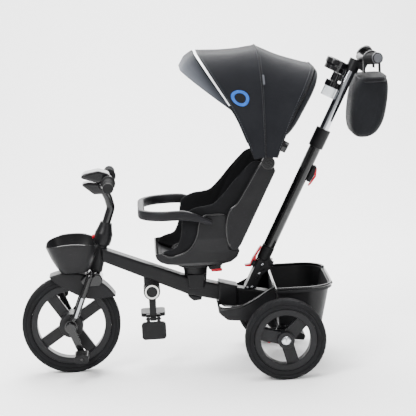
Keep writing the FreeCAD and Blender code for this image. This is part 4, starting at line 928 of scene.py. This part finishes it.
def makeBumper():
    low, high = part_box("bumper_bar")
    frontX = low.x + bumperLook["frontMm"] * mm
    half = bumperLook["halfMm"] * mm
    turn = bumperLook["turnMm"] * mm
    path = []
    straight = high.x - frontX - turn - 1.5 * mm
    for i in range(24):
        path.append(Vector((high.x - 1.5 * mm - straight * i / 24, -half, 0)))
    for i in range(25):
        a = math.pi / 2 * i / 24
        path.append(Vector((frontX + turn - turn * math.sin(a), -half + turn - turn * math.cos(a), 0)))
    for i in range(1, 12):
        path.append(Vector((frontX, (-half + turn) * (1 - i / 12), 0)))
    path += [Vector((p.x, -p.y, 0)) for p in reversed(path)]
    rings = []
    topZ = high.z
    for i, p in enumerate(path):
        ahead = (path[min(i + 1, len(path) - 1)] - path[max(i - 1, 0)]).normalized()
        side = Vector((ahead.y, -ahead.x, 0))
        run = (p.x - low.x) / mm
        drop = blendValues([(-1, 0.0), (60, 0.0), (112, 0.4), (137, 7.0), (161, 18.0), (192, 34.0)], run)
        lift = blendValues([(-1, 25.0), (60, 25.0), (104, 25.2), (139, 29.0), (174, 38.0),
                            (192, 41.5)], run)
        zTop = topZ - drop * mm
        zLow = topZ - lift * mm
        ring = []
        for j in range(24):
            c, s = squareRound(2 * math.pi * j / 24, 0.62)
            grain = 0.25 * noise.noise(Vector((p.x * 60, p.y * 60, j)))
            ring.append(Vector((p.x, p.y, (zTop + zLow) / 2)) + side * (
                bumperLook["thickMm"] / 2 - 0.2 + grain) * c * mm
                + Vector((0, 0, (zTop - zLow) / 2 - 0.2 * mm)) * s)
        rings.append(ring)
    piece = loftPiece("bumperWrap", rings, leathercloth)
    settle(piece, "bumper", "bumper_wrap", ["bumper_bar"])
    seam = []
    for i, p in enumerate(path[20:-20]):
        full = i + 20
        ahead = (path[full + 1] - path[full - 1]).normalized()
        side = Vector((ahead.y, -ahead.x, 0))
        inward = -side if side.dot(Vector((0.3 - p.x, -p.y, 0))) < 0 else side
        seam.append((Vector((p.x, p.y, topZ - 20.0 * mm)) + inward * 8.3 * mm, inward))
    repeatAlong("bumperStitches", [seam], stitchUnit(5.0, 0.7), 7.0 * mm, greyThread, "bumper")


def handleFrame():
    joint = joints["telescope"]
    up = Vector(joint["axis"]).normalized()
    back = Vector((up.z, 0, -up.x))
    return pivot("push_turn"), up, back


handleFoot, handleUp, handleBack = handleFrame()


def onHandle(along, behind=0.0, y=0.0):
    return handleFoot + (handleUp * along + handleBack * behind) * mm + Vector((0, y * mm, 0))


bagLook = {"levels": [(574, 756, 780), (580, 744, 795), (592, 736, 808), (620, 733, 823),
                      (655, 735.5, 833), (690, 742, 838), (715, 753, 837), (729, 763, 831)],
           "halfWideMm": 85.0}  # each level: height, front and back, in mm


def makeBag():
    # the bag hangs behind the push bar: its front follows the tube and its foot is round
    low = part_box("bag")[0]
    shiftX = low.x - 733.0 * mm
    rings = []
    levels = bagLook["levels"]
    for i in range(33):
        z = levels[0][0] + (levels[-1][0] - levels[0][0]) * i / 32
        front = blendValues([(lv[0], lv[1]) for lv in levels], z)
        rear = blendValues([(lv[0], lv[2]) for lv in levels], z)
        k = (z - levels[0][0]) / (levels[-1][0] - levels[0][0])
        foot = min(1.0, 0.62 + 0.38 * math.sqrt(max(0.0, 1 - (1 - min(1.0, k / 0.3)) ** 2)))
        ring = []
        for j in range(64):
            c, s = squareRound(2 * math.pi * j / 64, 0.5)
            fold = noise.noise(Vector((c * 1.6, s * 1.6, z * 0.012))) * 2.4
            for at, deep in ((0.42, 3.4), (0.05, 2.2), (-0.5, 2.6)):  # folds that hang from the loops
                fold -= deep * math.exp(-(((c - at - 0.1 * math.sin(z * 0.03)) * 7) ** 2)) * abs(s)
            half = bagLook["halfWideMm"] * foot - 2
            x = (front + rear) / 2 + ((rear - front) / 2 * (0.8 + 0.2 * foot) - 1.5) * c + fold * c
            ring.append(Vector((x * mm + shiftX, (half * s + fold * s) * mm, z * mm)))
        rings.append(ring)
    bag = loftPiece("storageBag", rings, twillPolyester)
    addModifier(bag, "SUBSURF", levels=1, render_levels=1)
    bakeModifiers(bag)
    settle(bag, "handle_upper", "charcoal_fabric", ["bag"])
    top = levels[-1][0] - 7
    rim = []
    for j in range(65):
        c, s = squareRound(2 * math.pi * j / 64, 0.5)
        x = (levels[-1][1] + levels[-1][2]) / 2 + ((levels[-1][2] - levels[-1][1]) / 2 + 1.2) * c
        rim.append(Vector((x * mm + shiftX, (bagLook["halfWideMm"] - 0.5) * s * mm, top * mm)))
    binding = ribbon("bagBinding", rim, Vector((0, 0, 1)), 12 * mm, 1.6 * mm, blackGrosgrain)
    settle(binding, "handle_upper", "charcoal_fabric")
    stitches = []
    for drop in (-4.0, 4.0):
        line = []
        for j, p in enumerate(rim):
            ahead = (rim[(j + 1) % 64] - rim[j - 1 if j else 63]).normalized()
            out = Vector((ahead.y, -ahead.x, 0)).normalized()
            out = out if out.dot(p - (rim[0] + rim[32]) / 2) > 0 else -out
            line.append((p + out * 0.9 * mm + Vector((0, 0, drop * mm)), out))
        stitches.append(line)
    repeatAlong("bagStitches", stitches, stitchUnit(3.6, 0.6), 5.4 * mm, greyThread, "handle_upper")
    for side, name in bothSides:  # two loops go over the push bar
        y = side * 62 * mm
        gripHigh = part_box("push_grips")[1]
        centre = Vector((794 * mm + shiftX, y, gripHigh.z - 20 * mm))
        loop = []
        for i in range(33):
            a = math.pi * (i / 32)
            loop.append(centre + Vector((-math.cos(a) * 19.5 * mm, 0, math.sin(a) * 19.5 * mm)))
        loop = [centre + Vector((-19.5 * mm, 0, -k * mm)) for k in (33, 22, 11)] + loop \
            + [centre + Vector((19.5 * mm, 0, -k * mm)) for k in (11, 22, 33)]
        strap = ribbon("bagLoop" + name, loop, Vector((0, 1, 0)),
                       24 * mm, 4.5 * mm, blackGrosgrain)
        settle(strap, "handle_upper", "charcoal_fabric")


def tubeRibs(name, start, end, radius, spacing, thick, body):
    axis = (end - start).normalized()
    line = [(start, axis), (end, axis)]
    unit = ribUnit(radius, thick)
    return repeatAlong(name, [line], unit, spacing, gripRubber, body)


def makeGripRibs():
    low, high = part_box("handlebar_grips")
    x, z = (low.x + high.x) / 2, (low.z + high.z) / 2
    for side, name in bothSides:
        tubeRibs("barGripRibs" + name, Vector((x, side * (high.y - 82 * mm), z)),
                 Vector((x, side * (high.y - 8 * mm), z)), 12.9 * mm, 4.2 * mm, 1.1 * mm, "steering")
    low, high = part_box("push_grips")
    endX = low.x + (803 - 771.0) * mm
    endZ = high.z - (793.3 - 779) * mm
    foot = onHandle(530)
    for side, name in bothSides:
        outer = Vector((endX, side * 112 * mm, endZ))
        inner = Vector((foot.x + 16 * mm, side * 36 * mm, foot.z + 12 * mm))
        way = (inner - outer).normalized()
        tubeRibs("pushGripRibs" + name, outer + way * 6 * mm, outer + way * 50 * mm,
                 14.3 * mm, 3.6 * mm, 0.7 * mm, "handle_upper")
        cap = []
        level = way.cross(Vector((0, 0, 1))).normalized()
        upright = way.cross(level)
        turns = [2 * math.pi * j / 40 for j in range(40)]
        for along, r in ((-4.2, 0.1), (-4.2, 11.0), (-3.4, 13.2), (-1.5, 14.4), (1.4, 14.7),
                         (1.4, 12.0)):
            cap.append([outer + way * along * mm + (level * math.cos(a) + upright * math.sin(a)) * r * mm
                        for a in turns])
        settle(loftPiece("pushGripCap" + name, cap, greyTpe), "handle_upper", "white_plastic")


def makeScrews():
    # four screw heads on each cheek of the handle's foot
    lines = []
    for facing in (Vector((0, -1, 0)), Vector((0, 1, 0))):
        for along, behind in ((-36, 2), (-60, 4), (-100, 2), (-106, -8)):
            p = onHandle(along, behind)
            p = Vector((p.x, 22.1 * mm if facing.y > 0 else -22.1 * mm, p.z)) - facing * 0.1 * mm
            lines.append([(p, facing), (p + Vector((0.4 * mm, 0, 0)), facing)])
    repeatAlong("frameScrews", lines, screwUnit(3.6 * mm), 5 * mm, chromePlate, "frame")


def makePedalRidges():
    corners = [(x * 1.2 * mm, y * 14 * mm, z * 0.9 * mm) for x in (-1, 1) for y in (-1, 1)
               for z in (0, 1)]
    unit = unitShape("ridge", corners, [(0, 1, 3, 2), (4, 6, 7, 5), (0, 4, 5, 1), (2, 3, 7, 6),
                                        (1, 5, 7, 3), (0, 2, 6, 4)])
    for node in ("pedal_left", "pedal_right"):
        low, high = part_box(node)
        middle = (low + high) / 2
        lines = []
        for z, facing in ((high.z - 0.1 * mm, Vector((0, 0, 1))),
                          (low.z + 0.1 * mm, Vector((0, 0, -1)))):
            lines.append([(Vector((middle.x, low.y + 6 * mm, z)), facing),
                          (Vector((middle.x, high.y - 6 * mm, z)), facing)])
        repeatAlong(node + "Ridges", lines, unit, 6.5 * mm, gripRubber, bodyOf[node])


def makeBrakeTabs():
    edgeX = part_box("brake_rocker")[0].x
    axleZ = pivot("brake_rock").z
    for side, name in bothSides:
        rings = []
        for k, grow in ((-16.6, 0.7), (-15.5, 1.0), (15.5, 1.0), (16.6, 0.7)):
            rings.append(ovalRing(28, 0.5, lambda c, s: Vector((
                edgeX + (9.5 + 9.0 * c * grow) * mm, (side * 128.0 + k) * mm,
                axleZ + (-15.5 + 0.33 * 9.0 * c * grow + 6.0 * s * grow) * mm))))
        settle(loftPiece("brakeTab" + name, rings, redAcetal), "brake", "red_plastic")


badge = {"along": 0.20, "across": 0.195, "radiusMm": 17.5, "halfWideMm": 4.0}


def makeBadge():
    # a plain ring lies on the cloth where the side panel carries its badge
    u, t = badge["along"], badge["across"]
    perU = (coverPoint(u + 0.02, t) - coverPoint(u - 0.02, t)).length / 0.04
    perT = (coverPoint(u, t + 0.01) - coverPoint(u, t - 0.01)).length / 0.02
    rings = []
    for i in range(72):
        a = 2 * math.pi * i / 72
        ring = []
        for j in range(10):
            c, lift = squareRound(2 * math.pi * j / 10, 0.7)
            r = (badge["radiusMm"] + badge["halfWideMm"] * c) * mm
            ring.append(coverPoint(u + r * math.cos(a) / perU, t + r * math.sin(a) / perT,
                                   0.6 + 0.7 * lift))
        rings.append(ring)
    points = [p for ring in rings for p in ring]
    piece = addPiece("plainRingBadge", points, gridFaces(72, 10, True, True), blueSilicone)
    settle(piece, "canopy_front", "charcoal_fabric")


def makeSeams():
    stitch = stitchUnit(4.2, 0.75)
    repeatAlong("middleSeamStitches", [archPath(0.488, 0.6), archPath(0.512, 0.6)], stitch, 6.4 * mm,
                greyThread, "canopy_middle")
    repeatAlong("rearSeamStitches", [archPath(0.965, 0.6)], stitch, 6.4 * mm, greyThread, "back")
    repeatAlong("frontSeamStitches", [archPath(0.04, 0.6)], stitch, 6.4 * mm, greyThread, "canopy_front")
    for name, u, body in (("middlePiping", 0.5, "canopy_middle"), ("rearPiping", 0.993, "back")):
        path = [step[0] for step in archPath(u, 0.5, 0.0, 1.0)]
        cord = ribbon(name, path, Vector((1, 0, 0)), 2.6 * mm, 2.2 * mm, blackGrosgrain)
        settle(cord, body, "charcoal_fabric")


def makeTag():
    p = coverPoint(0.52, 0.262, 0.0)
    facing = archFacing(canopy["middleBow"], 0.25, canopy["halfWideMm"])
    ahead = Vector((0.05, 0, -1))
    ahead = (ahead - facing * ahead.dot(facing)).normalized()
    path = [p + facing * 1.2 * mm + ahead * k * mm for k in range(0, 25, 3)]
    tag = ribbon("wovenTag", path, ahead.cross(facing), 5 * mm, 0.7 * mm, greyWebbing)
    settle(tag, "back", "charcoal_fabric")


linerLook = {"thickMm": 8.5, "outerMm": 127.3, "voxelMm": 3.2, "outline": (
    (234, 304), (238, 317), (253, 325), (276, 331), (285, 345), (291, 362), (299, 411), (318, 427),
    (342, 434), (373, 438), (398, 458), (423, 486), (448, 512), (471, 534), (488, 541), (506, 534),
    (517, 512), (500, 470), (474, 412), (447, 358), (432, 322), (404, 297), (330, 291), (262, 294))}


def wallInside(z):
    # the bucket's side walls draw in towards its floor
    return blendValues([(280, 96), (288, 106), (316, 120), (350, 128), (600, 128)], z)


def makeLiners():
    # a padded cloth on each side runs from the seat's front edge up to the top of the back
    flat = easePath([Vector((x * mm + drawingShift, 0, z * mm)) for x, z in linerLook["outline"]], 4)
    for side, name in bothSides:
        points = []
        for depth in (0.0, -linerLook["thickMm"]):
            points += [Vector((p.x, side * (linerLook["outerMm"] + depth) * mm, p.z)) for p in flat]
        count = len(flat)
        faces = [tuple(range(count)), tuple(range(2 * count - 1, count - 1, -1))]
        faces += [(i, (i + 1) % count, count + (i + 1) % count, count + i) for i in range(count)]
        liner = addPiece("seatLiner" + name, points, faces, brushedPolyester)
        addModifier(liner, "REMESH", mode="VOXEL", voxel_size=linerLook["voxelMm"] * mm,
                    use_smooth_shade=True)
        addModifier(liner, "SMOOTH", factor=0.5, iterations=8)
        bakeModifiers(liner)
        for vertex in liner.data.vertices:
            p = vertex.co
            inner = linerLook["outerMm"] * mm - abs(p.y)
            puff = 2.6 * noise.noise(Vector((p.x * 18, side, p.z * 18))) * inner / 8
            groove = sum(math.exp(-(((p.x - recline.x) / mm * 0.886 - (p.z - recline.z) / mm * 0.463 + at)
                                    / 3.5) ** 2) for at in (28, 62))
            shrink = 128 - wallInside(p.z / mm)
            p.y -= side * (shrink * mm + (puff - 2.2 * groove) * mm * (inner > 4 * mm))
        liner.data.shade_smooth()
        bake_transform(liner)


def bead(name, points, radius, finish, body, slotName):
    path = easePath(points)
    rings = []
    for i, p in enumerate(path):
        ahead = (path[min(i + 1, len(path) - 1)] - path[max(i - 1, 0)]).normalized()
        side = ahead.cross(Vector((0, 1, 0.02))).normalized()
        up = side.cross(ahead)
        taper = min(1.0, 0.35 + min(i, len(path) - 1 - i) * 0.3)
        rings.append([p + (side * math.cos(2 * math.pi * j / 12) + up * math.sin(2 * math.pi * j / 12))
                      * radius * taper for j in range(12)])
    return settle(loftPiece(name, rings, finish), body, slotName)


def makeBeads():
    seatEdge = ((404, 410), (388, 412), (366, 411), (352, 409), (339, 393), (332, 361), (317, 333),
                (296, 317), (272, 309), (256, 310.5), (241, 318))
    for side, name in bothSides:
        wing = [(-6, 22), (8, 36), (30, 50), (58, 60.5), (80, 61), (100, 52.5), (150, 47.5), (206, 42.5),
                (222, 34), (229, 26), (227, 14)]
        path = [backPoint(along, out, side * 137.5) for along, out in wing]
        bead("wingBead" + name, path, 3.0 * mm, polishedAbs, "back", "satin_black_plastic")
        path = [Vector((x * mm + drawingShift, side * (wallInside(z) + 2.2) * mm, z * mm))
                for x, z in seatEdge]
        bead("seatBead" + name, path, 2.7 * mm, polishedAbs, "seat", "satin_black_plastic")
        tray = ((519, 219), (505, 213.5), (470, 192), (436, 176.5), (404, 172.5), (382, 171))
        path = [Vector((x * mm + drawingShift, side * 138.8 * mm, z * mm)) for x, z in tray]
        bead("trayBead" + name, path, 3.2 * mm, polishedAbs, "frame", "satin_black_plastic")
    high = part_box("rear_basket")[1]
    rim = []
    corner = 64 * mm
    x0, x1, half = 521 * mm + drawingShift, high.x - 1.5 * mm, high.y - 1.5 * mm
    small = 7 * mm
    for cx, cy, first, r in ((x1 - corner, half - corner, 0, corner),
                             (x0 + small, half - small, 1, small),
                             (x0 + small, -half + small, 2, small),
                             (x1 - corner, -half + corner, 3, corner)):
        for k in range(9):
            a = (first + k / 8) * math.pi / 2
            rim.append(Vector((cx + r * math.cos(a), cy + r * math.sin(a), high.z - 2.6 * mm)))
    rim.append(rim[0])
    bead("tubRim", rim, 3.4 * mm, polishedAbs, "frame", "satin_black_plastic")


def makeClips():
    for side, name in bothSides:
        a = math.radians(canopy["rearBow"][0])
        up, back = Vector((math.sin(a), 0, math.cos(a))), Vector((math.cos(a), 0, -math.sin(a)))
        middle = hub + up * 54 * mm + back * 15 * mm + Vector((0, side * 151 * mm, 0))
        rings = []
        for k, grow in ((-14, 0.7), (-12.5, 1.0), (12.5, 1.0), (14, 0.7)):
            rings.append(ovalRing(24, 0.3, lambda c, s: middle + up * k * mm
                                  + back * 10 * c * grow * mm + Vector((0, 6 * s * grow * mm, 0))))
        settle(loftPiece("curtainClip" + name, rings, polishedAbs), "back", "satin_black_plastic")


def makeForkStripes():
    # a plain pale stripe down each fork leg
    for side, name in bothSides:
        y = side * 46.0 * mm
        path = []
        for i in range(13):
            k = i / 12
            x, z = 33.5 - 20.5 * k, 202 - 51 * k
            path.append(Vector((x * mm + drawingShift, y + side * 8.1 * mm, z * mm)))
        stripe = ribbon("forkStripe" + name, path, Vector((1, 0, 0)), 6.0 * mm, 0.5 * mm, printedInk)
        settle(stripe, "steering", "black_painted_steel")


def makeStudio():
    scene = bpy.context.scene
    target = Vector((0.0104, 0.0, 0.408))
    azimuth, elevation, roll = math.radians(-1.8), math.radians(9.3), math.radians(-2.94)
    back = Vector((math.sin(azimuth) * math.cos(elevation), -math.cos(azimuth) * math.cos(elevation),
                   math.sin(elevation)))
    right = (-back).cross(Vector((0, 0, 1))).normalized()
    up = right.cross(-back)
    turnedRight = right * math.cos(roll) + up * math.sin(roll)
    turnedUp = up * math.cos(roll) - right * math.sin(roll)
    camera = bpy.data.objects.new("camera", bpy.data.cameras.new("camera"))
    scene.collection.objects.link(camera)
    camera.data.lens = 168.7
    camera.data.sensor_width = 36
    camera.data.clip_end = 50
    place = Matrix((turnedRight, turnedUp, back)).transposed().to_4x4()
    place.translation = target + back * 5.0
    camera.matrix_world = place
    scene.camera = camera
    floorPoints, faces = [], []
    sweep = [math.pi / 2 * i / 24 for i in range(1, 25)]
    profile = [(-4.0, 0.0), (1.6, 0.0)]
    profile += [(1.6 + 1.2 * math.sin(a), 1.2 - 1.2 * math.cos(a)) for a in sweep] + [(2.8, 5.0)]
    for y, z in profile:
        floorPoints += [Vector((-7, y, z - 0.0002)), Vector((7, y, z - 0.0002))]
    faces = [(2 * i, 2 * i + 1, 2 * i + 3, 2 * i + 2) for i in range(len(profile) - 1)]
    paper = hardFinish("studioPaper", {"colour": "#fcfcfc", "bloom": "#fafafa", "worn": "#f8f8f8",
                                       "scuff": 0.0, "rough": 0.75, "grainMm": 8, "bloomMm": 900,
                                       "bump": 0.02})
    addPiece("studioFloor", floorPoints, faces, paper, outward=False)
    for name, spot, size, power in (("keyLight", (-1.6, -2.2, 2.6), 1.4, 165),
                                    ("fillLight", (2.2, -2.4, 1.4), 1.6, 60),
                                    ("topLight", (0.1, 0.3, 3.0), 2.2, 165),
                                    ("wallLight", (0.0, 2.0, 2.4), 2.6, 190)):
        lamp = bpy.data.lights.new(name, "AREA")
        lamp.size = size
        lamp.energy = power
        thing = bpy.data.objects.new(name, lamp)
        scene.collection.objects.link(thing)
        thing.location = spot
        thing.rotation_euler = (target - Vector(spot)).to_track_quat("-Z", "Y").to_euler()
    world = bpy.data.worlds.new("studioAir")
    scene.world = world
    world.use_nodes = True
    world.node_tree.nodes["Background"].inputs["Color"].default_value = (1, 1, 1, 1)
    world.node_tree.nodes["Background"].inputs["Strength"].default_value = 0.6


makeStudio()
dressFrame()
print("studio and frame ready")
for moulding, (voxel, rounds) in mouldings.items():
    easedMoulding(moulding, voxel, rounds)
print("hard mouldings eased")
makeTyre("front_tyre", pivot("front_wheel_spin"))
makeTyre("rear_tyre_left", pivot("left_rear_wheel_spin"))
makeTyre("rear_tyre_right", pivot("right_rear_wheel_spin"))
print("tyres made")
makeCanopy()
makeVisor()
makeCurtain()
makeSeams()
makeBadge()
makeTag()
print("canopy made")
makeLiners()
makeSeatPad()
makeBackPad()
makeBeads()
makeHarness()
makeBumper()
print("seat made")
makeBag()
makeGripRibs()
makeScrews()
makePedalRidges()
makeBrakeTabs()
makeClips()
makeForkStripes()
print("small things made")
